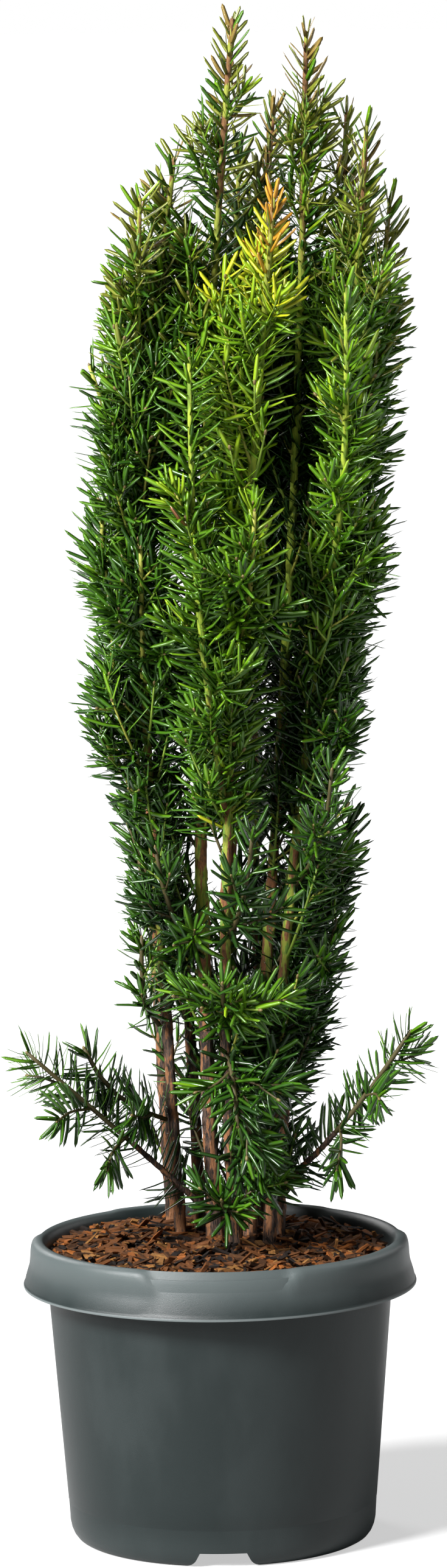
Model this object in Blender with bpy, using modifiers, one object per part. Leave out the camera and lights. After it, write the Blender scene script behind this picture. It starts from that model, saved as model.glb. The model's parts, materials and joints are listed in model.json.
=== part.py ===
"""A columnar yew of about one metre, standing in its round nursery pot.

Ten stems rise from one crown at the middle of the pot, and five more leaders fork off
them. Each leader carries a mass of needles at its tip, shorter side shoots fill the
column between them, and two low boughs reach out over the rim. Every mass grows from
one stem by a seeded rule: a main stem, side twigs and needles, which are kept only
where they stay in the mass's own space.

Metres, +Z up, front of the plant towards -Y. The origin is the middle of the pot's
underside.
"""

import math
import random
from collections import namedtuple

import bmesh
import bpy
import numpy as np
from mathutils import Matrix, Vector
from mathutils.bvhtree import BVHTree

# Clearances between solids that rest on or stand beside each other
GAP = 0.0003
SEAT_GAP = 0.00042
SEATING_ROUNDS = 8

# Pot: a thin tapered shell with a raised floor, a foot ring and a hanging skirt
POT_STEPS = 42
RIM_HEIGHT = 0.1973
WALL = 0.0017
BODY_FOOT_RADIUS = 0.1008
BODY_FOOT_HEIGHT = 0.015
BODY_TOP_RADIUS = 0.1149
BODY_TOP_HEIGHT = 0.1925
FLOOR_UNDER = 0.0098
FLOOR_TOP = 0.0116
FOOT_RING_RADIUS = 0.0908
CENTRE_PAD_RADIUS = 0.0205
LEDGE_HEIGHT = 0.1865
LEDGE_STEP = 0.0021
LIP_RADIUS = 0.1156
SKIRT_RADIUS = 0.129
SKIRT_FOOT = 0.1675
PLAIN_HALF_ANGLE = math.radians(23)
PLAIN_SEGMENTS = 3
NOTCH_COUNT = 3
NOTCH_TOP_HALF = 0.0152
NOTCH_CORNER_RADIUS = 0.009
NOTCH_FOOT_HALF = 0.0256
DRAIN_COUNT = 6
DRAIN_RADIUS = 0.0045
DRAIN_SIDES = 10
DRAIN_CIRCLE = 0.062

# Root ball and mulch inside the pot
SOIL_TOP = 0.168
MULCH_EDGE = 0.1872
MULCH_MOUND = 0.0065
MULCH_SIDES = 26
MULCH_RINGS = (0.02, 0.05, 0.08, 0.1084)

# Stems: all stand on the root ball's flat top
STEM_FOOT = SOIL_TOP + GAP
STEM_SIDES = 8
STEM_RINGS = 9
BOUGH_SIDES = 6
STEM_TOP_RADIUS = 0.0021
FLARE_HEIGHT = 0.014
BOUGH_GAP_SHARE = 0.0025

# Twigs are three-sided; a needle is drawn out of each side of each short length of twig
NEEDLE_LENGTH = 0.027
TIP_NEEDLE = 0.016
NEEDLE_REACHES = (1.0, 0.8, 0.62, 0.45)
NEEDLE_SPACING = 0.0090
NEEDLE_STEPS = (0.2, 0.45, 0.7, 1.0)
NEEDLE_ROOM = 0.0032
NODE_ROOM = 0.0064
TWIG_RADIUS = 0.0019
TWIG_TIP_RADIUS = 0.0011
TWIG_ROOT_RADIUS = 0.0005
TWIG_SPACING = 0.047
TWIG_ROOM = 0.0034
TWIG_ANGLE = math.radians(40)
UPRIGHT_TWIG_ANGLE = math.radians(28)
TWIST = math.radians(22)
GOLDEN_ANGLE = math.radians(137.5)
TURN_ASIDE = (0, 10, -10, 20, -20, 30, -30, 42, -42)
# Masses in which the EXACT solver leaves a sealed sliver where a side twig meets its stem
JOINED_BY_MANIFOLD = ("top_far_right",)

Leader = namedtuple("Leader", "name foot tip bow sway radius flare bare_top")
Fork = namedtuple("Fork", "name parent height tip bow")
Shoot = namedtuple("Shoot", "name parent height azimuth reach rise")
Bough = namedtuple("Bough", "name parent height knee tip radius end")
Mass = namedtuple("Mass", "name parent points upright")
Twig = namedtuple("Twig", "points radius upright")
Limb = namedtuple("Limb", "points radii")
Tube = namedtuple("Tube", "bm first lengths last")

# Feet and tips are places; bow and sway bend the middle line sideways between them.
LEADERS = (
    Leader(
        "centre", (-0.002, 0.018), (0.019, -0.002, 1.000),
        (-0.016, -0.009), (0.000, 0.004), 0.0056, 0.005, 0.875,
    ),
    Leader(
        "tall_right", (0.018, 0.026), (0.066, 0.012, 0.990),
        (0.006, 0.004), (-0.001, 0.001), 0.0048, 0.0035, 0.865,
    ),
    Leader(
        "back_centre", (0.008, 0.046), (0.046, 0.052, 0.943),
        (-0.012, 0.001), (0.001, 0.001), 0.0042, 0.0025, 0.815,
    ),
    Leader(
        "front", (0.012, -0.002), (0.044, -0.045, 0.888),
        (-0.016, -0.008), (-0.003, 0.003), 0.0045, 0.003, 0.745,
    ),
    Leader(
        "right_back", (0.038, 0.030), (0.092, 0.030, 0.939),
        (0.000, 0.013), (-0.003, 0.004), 0.0045, 0.003, 0.800,
    ),
    Leader(
        "right", (0.032, 0.006), (0.104, -0.012, 0.931),
        (-0.003, 0.005), (-0.005, -0.001), 0.0044, 0.003, 0.785,
    ),
    Leader(
        "left_back", (-0.012, 0.042), (-0.019, 0.000, 0.911),
        (-0.018, 0.007), (0.007, 0.002), 0.0042, 0.0025, 0.775,
    ),
    Leader(
        "left", (-0.024, 0.026), (-0.042, -0.020, 0.887),
        (-0.010, 0.002), (0.002, 0.006), 0.0042, 0.003, 0.745,
    ),
    Leader(
        "back_left", (-0.030, 0.048), (-0.036, 0.062, 0.822),
        (-0.010, 0.010), (0.000, 0.004), 0.0040, 0.0025, 0.675,
    ),
    Leader(
        "back_right", (0.028, 0.050), (0.030, 0.094, 0.846),
        (-0.002, 0.012), (0.000, 0.003), 0.0042, 0.0025, 0.695,
    ),
)

# Leaders that leave a stem part of the way up and grow on as a mass
FORKS = (
    Fork("right_front", "right", 0.585, (0.088, -0.058, 0.830), (0.006, -0.012)),
    Fork("far_right", "right", 0.632, (0.118, 0.010, 0.884), (0.005, 0.009)),
    Fork("inner_back", "back_centre", 0.690, (0.022, 0.045, 0.918), (-0.004, 0.000)),
    Fork("front_left", "front", 0.485, (-0.012, -0.066, 0.786), (-0.006, -0.018)),
    Fork("far_back", "right_back", 0.560, (0.070, 0.082, 0.840), (0.002, 0.014)),
)

# Side shoots: height on the stem, azimuth (0 is +X, 90 is the back), reach and rise
SHOOTS = (
    Shoot("left_1", "left", 0.685, 185, 0.036, 0.085),
    Shoot("left_2", "left", 0.600, 195, 0.028, 0.075),
    Shoot("left_3", "left", 0.535, 165, 0.032, 0.062),
    Shoot("left_4", "left", 0.484, 192, 0.046, 0.044),
    Shoot("left_5", "left", 0.400, 175, 0.020, 0.062),
    Shoot("left_6", "left", 0.335, 205, 0.024, 0.060),
    Shoot("front_1", "front", 0.216, 258, 0.032, 0.014),
    Shoot("front_2", "front", 0.322, 278, 0.044, -0.040),
    Shoot("front_3", "front", 0.345, 268, 0.042, 0.030),
    Shoot("front_4", "front", 0.400, 292, 0.045, 0.075),
    Shoot("front_5", "centre", 0.385, 235, 0.046, 0.075),
    Shoot("front_6", "front", 0.590, 285, 0.040, 0.090),
    Shoot("front_7", "left", 0.570, 270, 0.044, 0.085),
    Shoot("front_8", "front", 0.255, 300, 0.034, -0.008),
    Shoot("right_1", "right", 0.600, 348, 0.034, 0.080),
    Shoot("right_2", "right", 0.495, 356, 0.044, 0.070),
    Shoot("right_3", "right_back", 0.400, 350, 0.042, 0.065),
    Shoot("right_4", "right_back", 0.300, 340, 0.034, 0.062),
    Shoot("right_5", "right", 0.430, 300, 0.050, 0.080),
    Shoot("right_6", "right", 0.345, 5, 0.044, 0.060),
    Shoot("back_1", "right_back", 0.520, 30, 0.042, 0.080),
    Shoot("back_2", "right_back", 0.390, 62, 0.046, 0.075),
    Shoot("back_3", "back_right", 0.590, 100, 0.036, 0.085),
    Shoot("back_4", "back_right", 0.440, 85, 0.044, 0.080),
    Shoot("back_5", "back_left", 0.580, 150, 0.044, 0.085),
    Shoot("back_6", "back_left", 0.430, 135, 0.046, 0.080),
    Shoot("back_7", "back_right", 0.300, 100, 0.046, 0.060),
    Shoot("low_mid", "left", 0.272, 215, 0.064, 0.054),
)

# Low boughs: they leave a stem just above the mulch and carry a mass from their end
BOUGHS = (
    Bough("low_left", "centre", 0.208, (-0.056, -0.006, 0.262), (-0.123, -0.030, 0.326), 0.0024, 0.46),
    Bough("low_right", "right", 0.226, (0.078, -0.026, 0.264), (0.125, -0.048, 0.340), 0.0024, 0.46),
)

# Side twigs of the low boughs and low front shoots: share along the mass's stem, and tip
SET_TWIGS = {
    "low_left": (
        (0.06, (-0.072, -0.038, 0.250)),
        (0.26, (-0.070, 0.010, 0.294)),
        (0.40, (-0.104, -0.048, 0.284)),
        (0.64, (-0.124, -0.010, 0.308)),
    ),
    "low_right": (
        (0.06, (0.076, -0.054, 0.250)),
        (0.26, (0.094, 0.002, 0.286)),
        (0.40, (0.104, -0.070, 0.300)),
        (0.64, (0.132, -0.030, 0.322)),
    ),
    "front_1": (
        (0.30, (-0.012, -0.034, 0.236)),
        (0.45, (0.034, -0.036, 0.242)),
    ),
    "front_2": (
        (0.30, (-0.014, -0.048, 0.302)),
        (0.40, (0.046, -0.046, 0.306)),
        (0.70, (0.030, -0.066, 0.262)),
    ),
    "front_3": (
        (0.28, (-0.020, -0.046, 0.366)),
        (0.40, (0.044, -0.050, 0.362)),
    ),
}

# Colour, roughness and metallic value of each kind of piece
POT_PLASTIC = ("pot_plastic", (0.045, 0.058, 0.060), 0.45, 0.0)
SOIL = ("soil", (0.030, 0.018, 0.010), 0.95, 0.0)
BARK_CHIPS = ("bark_chips", (0.230, 0.080, 0.032), 0.85, 0.0)
STEM_BARK = ("stem_bark", (0.170, 0.095, 0.045), 0.75, 0.0)
NEEDLE_GREEN = ("needle_green", (0.030, 0.120, 0.018), 0.45, 0.0)


def clear_scene():
    """Remove every object, so that the file starts empty."""
    for item in list(bpy.data.objects):
        bpy.data.objects.remove(item, do_unlink=True)


def new_collection(name):
    """A collection linked to the scene."""
    collection = bpy.data.collections.new(name)
    bpy.context.scene.collection.children.link(collection)
    return collection


def new_material(name, colour, roughness, metallic):
    """A Principled material of one colour."""
    material = bpy.data.materials.new(name)
    material.use_nodes = True
    shader = material.node_tree.nodes["Principled BSDF"]
    shader.inputs["Base Color"].default_value = (*colour, 1.0)
    shader.inputs["Roughness"].default_value = roughness
    shader.inputs["Metallic"].default_value = metallic
    material.diffuse_color = (*colour, 1.0)
    return material


def object_from(bm, name, collection):
    """Turn a bmesh into an object, with its faces pointing out."""
    bmesh.ops.recalc_face_normals(bm, faces=bm.faces)
    mesh = bpy.data.meshes.new(name)
    bm.to_mesh(mesh)
    bm.free()
    item = bpy.data.objects.new(name, mesh)
    collection.objects.link(item)
    return item


def finish(item, material):
    """Give a finished piece its material and smooth shading between sharp edges."""
    item.data.materials.clear()
    item.data.materials.append(material)
    item.data.shade_smooth()
    item.data.set_sharp_from_angle(angle=math.radians(35))


def grow_face(bm, face, first):
    """Extrude an end face and return the new one; the first stays as the other end."""
    grown = bmesh.ops.extrude_face_region(bm, geom=[face])["geom"]
    if not first:
        bmesh.ops.delete(bm, geom=[face], context="FACES_ONLY")
    return next(item for item in grown if isinstance(item, bmesh.types.BMFace))


def evaluated_mesh(item):
    """The mesh of an object with its modifiers applied."""
    depsgraph = bpy.context.evaluated_depsgraph_get()
    return bpy.data.meshes.new_from_object(item.evaluated_get(depsgraph), depsgraph=depsgraph)


def apply_modifiers(item):
    """Replace an object's mesh by its evaluated one."""
    mesh = evaluated_mesh(item)
    item.modifiers.clear()
    item.data = mesh


def lathe(name, profile, collection):
    """Turn a profile of (radius, height) points about the vertical axis."""
    mesh = bpy.data.meshes.new(name)
    edges = [(i, i + 1) for i in range(len(profile) - 1)]
    mesh.from_pydata([(radius, 0.0, height) for radius, height in profile], edges, [])
    item = bpy.data.objects.new(name, mesh)
    collection.objects.link(item)
    screw = item.modifiers.new("turn", "SCREW")
    screw.axis = "Z"
    screw.steps = POT_STEPS
    screw.render_steps = POT_STEPS
    screw.use_merge_vertices = True
    screw.merge_threshold = 0.00005
    apply_modifiers(item)
    return item


def cut(item, cutter, operation="DIFFERENCE"):
    """Cut one solid with another, which is then removed."""
    boolean = item.modifiers.new("cut", "BOOLEAN")
    boolean.operation = operation
    boolean.object = cutter
    boolean.solver = "EXACT"
    apply_modifiers(item)
    bpy.data.objects.remove(cutter, do_unlink=True)


def smooth_step(value):
    """An even ramp from 0 to 1."""
    value = min(max(value, 0.0), 1.0)
    return value * value * (3.0 - 2.0 * value)


def body_radius(height):
    """Outer radius of the pot's tapered body at a height."""
    share = (height - BODY_FOOT_HEIGHT) / (BODY_TOP_HEIGHT - BODY_FOOT_HEIGHT)
    return BODY_FOOT_RADIUS + (BODY_TOP_RADIUS - BODY_FOOT_RADIUS) * share


def rounded_skirt():
    """Outer line of the skirt where it has a round shoulder, from lip to lower edge."""
    return [
        (LIP_RADIUS, RIM_HEIGHT),
        (LIP_RADIUS + 0.0030, RIM_HEIGHT + 0.0010),
        (LIP_RADIUS + 0.0062, RIM_HEIGHT - 0.0002),
        (LIP_RADIUS + 0.0082, RIM_HEIGHT - 0.0036),
        (LIP_RADIUS + 0.0091, RIM_HEIGHT - 0.0090),
        (SKIRT_RADIUS - 0.0036, SKIRT_FOOT + 0.0130),
        (SKIRT_RADIUS - 0.0012, SKIRT_FOOT + 0.0055),
        (SKIRT_RADIUS, SKIRT_FOOT),
    ]


def plain_skirt():
    """Outer line of the skirt where it is a plain cone, point for point."""
    top = Vector((LIP_RADIUS + 0.0026, RIM_HEIGHT + 0.0004))
    foot = Vector((SKIRT_RADIUS, SKIRT_FOOT))
    count = len(rounded_skirt())
    line = [tuple(top.lerp(foot, i / (count - 2))) for i in range(count - 1)]
    return [(LIP_RADIUS, RIM_HEIGHT - 0.0014)] + line


def pot_profile():
    """Half section of the pot: the inside first, then over the rim and down the outside."""
    inner_foot = body_radius(BODY_FOOT_HEIGHT) - WALL
    inner_ledge = body_radius(LEDGE_HEIGHT) - WALL - LEDGE_STEP
    inside = [
        (0.0, FLOOR_TOP),
        (inner_foot - 0.0025, FLOOR_TOP),
        (inner_foot, BODY_FOOT_HEIGHT),
        (inner_ledge, LEDGE_HEIGHT - 0.0006),
        (inner_ledge + LEDGE_STEP, LEDGE_HEIGHT),
        (body_radius(RIM_HEIGHT - 0.004) - WALL, RIM_HEIGHT - 0.004),
    ]
    under_skirt = [
        (SKIRT_RADIUS - WALL, SKIRT_FOOT),
        (SKIRT_RADIUS - 0.0053, SKIRT_FOOT + 0.0130),
        (LIP_RADIUS + 0.0058, BODY_TOP_HEIGHT + 0.0002),
        (BODY_TOP_RADIUS, BODY_TOP_HEIGHT),
    ]
    outside = [
        (BODY_FOOT_RADIUS, BODY_FOOT_HEIGHT),
        (BODY_FOOT_RADIUS - 0.0008, 0.0080),
        (BODY_FOOT_RADIUS - 0.0026, 0.0036),
        (BODY_FOOT_RADIUS - 0.0054, 0.0008),
        (BODY_FOOT_RADIUS - 0.0080, 0.0),
        (FOOT_RING_RADIUS, 0.0),
        (FOOT_RING_RADIUS - 0.0010, FLOOR_UNDER),
        (CENTRE_PAD_RADIUS + 0.0020, FLOOR_UNDER),
        (CENTRE_PAD_RADIUS, 0.0),
        (0.0, 0.0),
    ]
    return inside + rounded_skirt() + under_skirt + outside


def plain_share(azimuth):
    """1 in the plain segments of the skirt, 0 in the rounded ones."""
    pitch = 2.0 * math.pi / PLAIN_SEGMENTS
    offset = (azimuth + math.pi / 2 + pitch / 2) % pitch - pitch / 2
    return 1.0 if abs(offset) <= PLAIN_HALF_ANGLE else 0.0


def shape_skirt(item):
    """Pull the turned shoulder down to the plain cone in the plain segments."""
    rounded = rounded_skirt()
    plain = plain_skirt()
    for vertex in item.data.vertices:
        radius = math.hypot(vertex.co.x, vertex.co.y)
        azimuth = math.atan2(vertex.co.y, vertex.co.x)
        for (from_radius, from_height), (to_radius, to_height) in zip(rounded, plain):
            if abs(radius - from_radius) + abs(vertex.co.z - from_height) < 0.00002:
                share = plain_share(azimuth)
                new_radius = from_radius + (to_radius - from_radius) * share
                vertex.co.x *= new_radius / radius
                vertex.co.y *= new_radius / radius
                vertex.co.z = from_height + (to_height - from_height) * share


def notch_cutter(azimuth, cutters):
    """A notch through the foot ring: flat roof, sloping sides and flared round corners."""
    bm = bmesh.new()
    centre = (NOTCH_FOOT_HALF, NOTCH_CORNER_RADIUS)
    corner = []
    for step in range(5):
        angle = math.radians(-90 - 62 * step / 4)
        corner.append((
            centre[0] + NOTCH_CORNER_RADIUS * math.cos(angle),
            centre[1] + NOTCH_CORNER_RADIUS * math.sin(angle),
        ))
    right = [(NOTCH_FOOT_HALF, -0.004)] + corner + [(NOTCH_TOP_HALF, FLOOR_UNDER)]
    outline = right + [(-x, z) for x, z in reversed(right)]
    start = FOOT_RING_RADIUS - 0.008
    face = bm.faces.new([bm.verts.new((start, x, z)) for x, z in outline])
    grown = bmesh.ops.extrude_face_region(bm, geom=[face])
    moved = [v for v in grown["geom"] if isinstance(v, bmesh.types.BMVert)]
    bmesh.ops.translate(bm, verts=moved, vec=(0.03, 0.0, 0.0))
    bmesh.ops.rotate(bm, verts=bm.verts, matrix=Matrix.Rotation(azimuth, 3, "Z"))
    return mark_cutter(object_from(bm, "notch_cutter", cutters))


def drain_cutter(azimuth, cutters):
    """A round drain hole through the raised floor."""
    bm = bmesh.new()
    place = Matrix.Rotation(azimuth, 4, "Z") @ Matrix.Translation((DRAIN_CIRCLE, 0.0, FLOOR_TOP))
    bmesh.ops.create_cone(
        bm, cap_ends=True, segments=DRAIN_SIDES, radius1=DRAIN_RADIUS, radius2=DRAIN_RADIUS,
        depth=0.01, matrix=place,
    )
    return mark_cutter(object_from(bm, "drain_cutter", cutters))


def mark_cutter(item):
    """Keep a cutter out of the model."""
    item.hide_render = True
    item.display_type = "WIRE"
    return item


def make_pot(model, cutters):
    """The nursery pot."""
    pot = lathe("pot", pot_profile(), model)
    shape_skirt(pot)
    for index in range(NOTCH_COUNT):
        cut(pot, notch_cutter(-math.pi / 2 + index * 2 * math.pi / NOTCH_COUNT, cutters))
    for index in range(DRAIN_COUNT):
        cut(pot, drain_cutter(math.radians(30) + index * 2 * math.pi / DRAIN_COUNT, cutters))
    finish(pot, new_material(*POT_PLASTIC))
    return pot


def make_root_ball(model):
    """Compost and roots that fill the pot below the mulch, with a flat top."""
    foot = FLOOR_TOP + GAP
    inner_foot = body_radius(BODY_FOOT_HEIGHT) - WALL - 0.0035
    inner_top = body_radius(LEDGE_HEIGHT) - WALL - LEDGE_STEP - 0.0018
    bm = bmesh.new()
    bmesh.ops.create_cone(
        bm, cap_ends=True, segments=POT_STEPS, radius1=inner_foot, radius2=inner_top,
        depth=SOIL_TOP - foot, matrix=Matrix.Translation((0.0, 0.0, (SOIL_TOP + foot) / 2)),
    )
    ball = object_from(bm, "root_ball", model)
    finish(ball, new_material(*SOIL))
    return ball


def mulch_height(x, y):
    """Height of the mulch's surface: level at the wall, heaped at the back left."""
    radius = math.hypot(x, y)
    heap = math.exp(-((x + 0.045) ** 2 + (y - 0.035) ** 2) / 0.0028)
    crown = math.exp(-(x ** 2 + (y - 0.02) ** 2) / 0.0022)
    ripple = 0.0009 * math.sin(90 * x + 2.0) * math.cos(75 * y + 0.5)
    fade = smooth_step((MULCH_RINGS[-1] - radius) / 0.02)
    return MULCH_EDGE + (MULCH_MOUND * max(heap, 0.75 * crown) + ripple) * fade


def make_mulch(model, cutters):
    """A layer of bark chips round the stems, with a hole for each stem's foot."""
    bm = bmesh.new()
    bottom = SOIL_TOP + GAP
    bmesh.ops.create_circle(
        bm, cap_ends=True, radius=MULCH_RINGS[-1], segments=MULCH_SIDES,
        matrix=Matrix.Translation((0.0, 0.0, bottom)),
    )
    bm.faces.ensure_lookup_table()
    face = bm.faces[0]
    levels = [MULCH_RINGS[-1]] + list(reversed(MULCH_RINGS[:-1]))
    previous = MULCH_RINGS[-1]
    for index, radius in enumerate(levels):
        face = grow_face(bm, face, index == 0)
        for vertex in face.verts:
            vertex.co.x *= radius / previous
            vertex.co.y *= radius / previous
            vertex.co.z = mulch_height(vertex.co.x, vertex.co.y)
        previous = radius
    bmesh.ops.poke(bm, faces=[face])
    mulch = object_from(bm, "bark_mulch", model)
    for leader in LEADERS:
        foot = leader_point(leader, 0.0)
        radius = stem_radius(leader, STEM_FOOT) + GAP
        hole = bmesh.new()
        bmesh.ops.create_cone(
            hole, cap_ends=True, segments=8, radius1=radius / math.cos(math.pi / 8) + 0.0004,
            radius2=radius / math.cos(math.pi / 8) + 0.0004, depth=0.06,
            matrix=Matrix.Translation((foot.x, foot.y, SOIL_TOP)),
        )
        cut(mulch, mark_cutter(object_from(hole, "stem_hole_cutter", cutters)))
    finish(mulch, new_material(*BARK_CHIPS))
    return mulch


def leader_point(leader, share):
    """A point on a leader's middle line, from its foot at 0 to its tip at 1."""
    foot = Vector((*leader.foot, STEM_FOOT))
    bow = Vector((*leader.bow, 0.0)) * math.sin(math.pi * share)
    sway = Vector((*leader.sway, 0.0)) * math.sin(2 * math.pi * share)
    return foot.lerp(Vector(leader.tip), share) + bow + sway


def leader_share(leader, height):
    """Where on a leader's middle line a height lies."""
    return (height - STEM_FOOT) / (leader.tip[2] - STEM_FOOT)


def stem_radius(leader, height):
    """A stem tapers evenly and flares at its foot."""
    share = (height - STEM_FOOT) / (leader.bare_top - STEM_FOOT)
    taper = leader.radius + (STEM_TOP_RADIUS - leader.radius) * share
    return taper + leader.flare * math.exp(-(height - STEM_FOOT) / FLARE_HEIGHT)


def tube_frames(points, twist=0.0, start=None):
    """A place and direction for each ring of a tube, turned a little from ring to ring."""
    frames = []
    side = start or Vector((1.0, 0.0, 0.0))
    for index, point in enumerate(points):
        before = points[max(index - 1, 0)]
        after = points[min(index + 1, len(points) - 1)]
        axis = (after - before).normalized()
        side = (side - axis * side.dot(axis)).normalized()
        side = Matrix.Rotation(twist if index else 0.0, 3, axis) @ side
        turned = Matrix((side, axis.cross(side), axis)).transposed().to_4x4()
        frames.append(Matrix.Translation(point) @ turned)
    return frames


def tube(frames, radii, sides):
    """A tapered tube grown from a disc ring by ring."""
    bm = bmesh.new()
    bmesh.ops.create_circle(bm, cap_ends=True, radius=radii[0], segments=sides, matrix=frames[0])
    first = list(bm.verts)
    bm.faces.ensure_lookup_table()
    face = bm.faces[0]
    lengths = []
    for index in range(1, len(frames)):
        face = grow_face(bm, face, index == 1)
        scale = Matrix.Scale(radii[index] / radii[index - 1], 4)
        move = frames[index] @ scale @ frames[index - 1].inverted()
        bmesh.ops.transform(bm, matrix=move, verts=face.verts)
        lengths.append([f for edge in face.edges for f in edge.link_faces if f is not face])
    return Tube(bm, first, lengths, face)


def clearance(tree, point):
    """Distance from a point to a surface, negative inside it."""
    place, normal, _, distance = tree.find_nearest(point)
    return math.copysign(distance, (point - place).dot(normal))


def seat_first_ring(ring, axis, tree):
    """Slide a tube's first ring back along the tube until it lies just off what carries it."""
    for _ in range(SEATING_ROUNDS):
        centre = sum((v.co for v in ring), Vector()) / len(ring)
        rim = [v.co for v in ring] + [a.co.lerp(b.co, 0.5) for a, b in zip(ring, ring[1:] + ring[:1])]
        spots = [centre.lerp(spot, share) for spot in rim for share in (0.0, 0.5, 1.0)]
        distance = min(clearance(tree, spot) for spot in spots)
        for vertex in ring:
            vertex.co += axis * (SEAT_GAP - distance)


def make_stem(leader, model, material):
    """One whole stem, from its flat cut on the root ball to where its leafy tip starts."""
    rise = leader.bare_top - STEM_FOOT
    heights = [STEM_FOOT, STEM_FOOT + 0.010, STEM_FOOT + 0.024]
    heights += [STEM_FOOT + 0.05 + (rise - 0.05) * i / (STEM_RINGS - 3) for i in range(STEM_RINGS - 2)]
    points = [leader_point(leader, leader_share(leader, z)) for z in heights]
    radii = [stem_radius(leader, z) for z in heights]
    shape = tube(tube_frames(points), radii, STEM_SIDES)
    for vertex in shape.first:
        vertex.co.z = STEM_FOOT
    stem = object_from(shape.bm, "stem_" + leader.name, model)
    finish(stem, material)
    return stem, Limb(points, radii)


def bough_point(bough, start, share):
    """A point on a low bough's middle line."""
    knee = Vector(bough.knee)
    tip = Vector(bough.tip)
    return start.lerp(knee, share).lerp(knee.lerp(tip, share), share)


def make_bough(bough, limbs, trees, model, material):
    """A low bough, from beside its stem to where its needles start."""
    start = bough_start(bough)
    shares = [bough.end * i / 5 for i in range(6)]
    points = [bough_point(bough, start, share) for share in shares]
    radii = [bough.radius * (1.0 - 0.35 * share) for share in shares]
    shape = tube(tube_frames(points), radii, BOUGH_SIDES)
    seat_first_ring(shape.first, (points[1] - points[0]).normalized(), trees[bough.parent])
    item = object_from(shape.bm, "bough_" + bough.name, model)
    finish(item, material)
    limbs["bough_" + bough.name] = Limb(points, radii)


def shoot_path(start, outward, reach, rise, count=5):
    """Middle line of a side shoot: it leaves level and turns up, or down, as it goes."""
    points = []
    for index in range(count):
        share = index / (count - 1)
        along = reach * (1.45 * share - 0.45 * share * share)
        up = rise * (0.55 * share + 0.45 * share * share)
        points.append(start + outward * along + Vector((0.0, 0.0, up)))
    return points


def leader_named(name):
    """The leader of a given name."""
    return next(leader for leader in LEADERS if leader.name == name)


def main_stems(space):
    """Name, middle line, whether it stands upright and what carries it, for each mass."""
    rows = []
    for leader in LEADERS:
        low = leader_share(leader, leader.bare_top + GAP)
        high = leader_share(leader, leader.tip[2] - TIP_NEEDLE)
        points = [leader_point(leader, low + (high - low) * i / 5) for i in range(6)]
        rows.append(Mass("top_" + leader.name, None, points, True))
    for fork in FORKS:
        leader = leader_named(fork.parent)
        axis = leader_point(leader, leader_share(leader, fork.height))
        tip = Vector(fork.tip) - Vector((0.0, 0.0, TIP_NEEDLE))
        flat = Vector((tip.x - axis.x, tip.y - axis.y, 0.0)).normalized()
        start = axis + flat * (stem_radius(leader, fork.height) + TWIG_RADIUS)
        bow = Vector((*fork.bow, 0.0))
        points = [start.lerp(tip, i / 6) + bow * math.sin(math.pi * i / 6) for i in range(7)]
        rows.append(Mass("top_" + fork.name, fork.parent, points, True))
    for bough in BOUGHS:
        start = bough_start(bough)
        first = bough.end + BOUGH_GAP_SHARE
        shares = [first + (1.0 - first) * i / 4 for i in range(5)]
        points = [bough_point(bough, start, share) for share in shares]
        rows.append(Mass(bough.name, None, points, False))
    for row in rows:
        space.add(row.points, [TWIG_RADIUS] * len(row.points), row.name)
    for shoot in SHOOTS:
        points = turned_aside(shoot, space)
        rows.append(Mass(shoot.name, shoot.parent, points, False))
        space.add(points, [TWIG_RADIUS] * len(points), shoot.name)
    return rows


def turned_aside(shoot, space):
    """Middle line of a side shoot, turned aside as little as clears what is there already."""
    leader = leader_named(shoot.parent)
    axis = leader_point(leader, leader_share(leader, shoot.height))
    for turn in TURN_ASIDE:
        azimuth = math.radians(shoot.azimuth + turn)
        outward = Vector((math.cos(azimuth), math.sin(azimuth), 0.0))
        start = axis + outward * (stem_radius(leader, shoot.height) + TWIG_RADIUS)
        points = shoot_path(start, outward, shoot.reach, shoot.rise)
        tests = [path_point(points, 0.3 + 0.1 * i)[0] for i in range(8)]
        if all(space.room(p, shoot.name, TWIG_RADIUS + TWIG_ROOM) for p in tests):
            return points
    raise RuntimeError("no room for " + shoot.name)


def bough_start(bough):
    """Where a low bough's middle line begins, beside its stem."""
    leader = leader_named(bough.parent)
    axis = leader_point(leader, leader_share(leader, bough.height))
    outward = (Vector(bough.knee) - axis).normalized()
    return axis + outward * (stem_radius(leader, bough.height) + bough.radius)


def path_point(points, share):
    """A point and the direction at a share of the way along a line of points."""
    place = min(max(share, 0.0), 1.0) * (len(points) - 1)
    index = min(int(place), len(points) - 2)
    point = points[index].lerp(points[index + 1], place - index)
    return point, (points[index + 1] - points[index]).normalized()


def path_length(points):
    """Length along a line of points."""
    return sum((b - a).length for a, b in zip(points, points[1:]))


def across(direction):
    """A unit vector square to a direction, as level as it can be."""
    level = direction.cross(Vector((0.0, 0.0, 1.0)))
    if level.length < 0.2:
        level = direction.cross(Vector((0.0, 1.0, 0.0)))
    return level.normalized()


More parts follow.
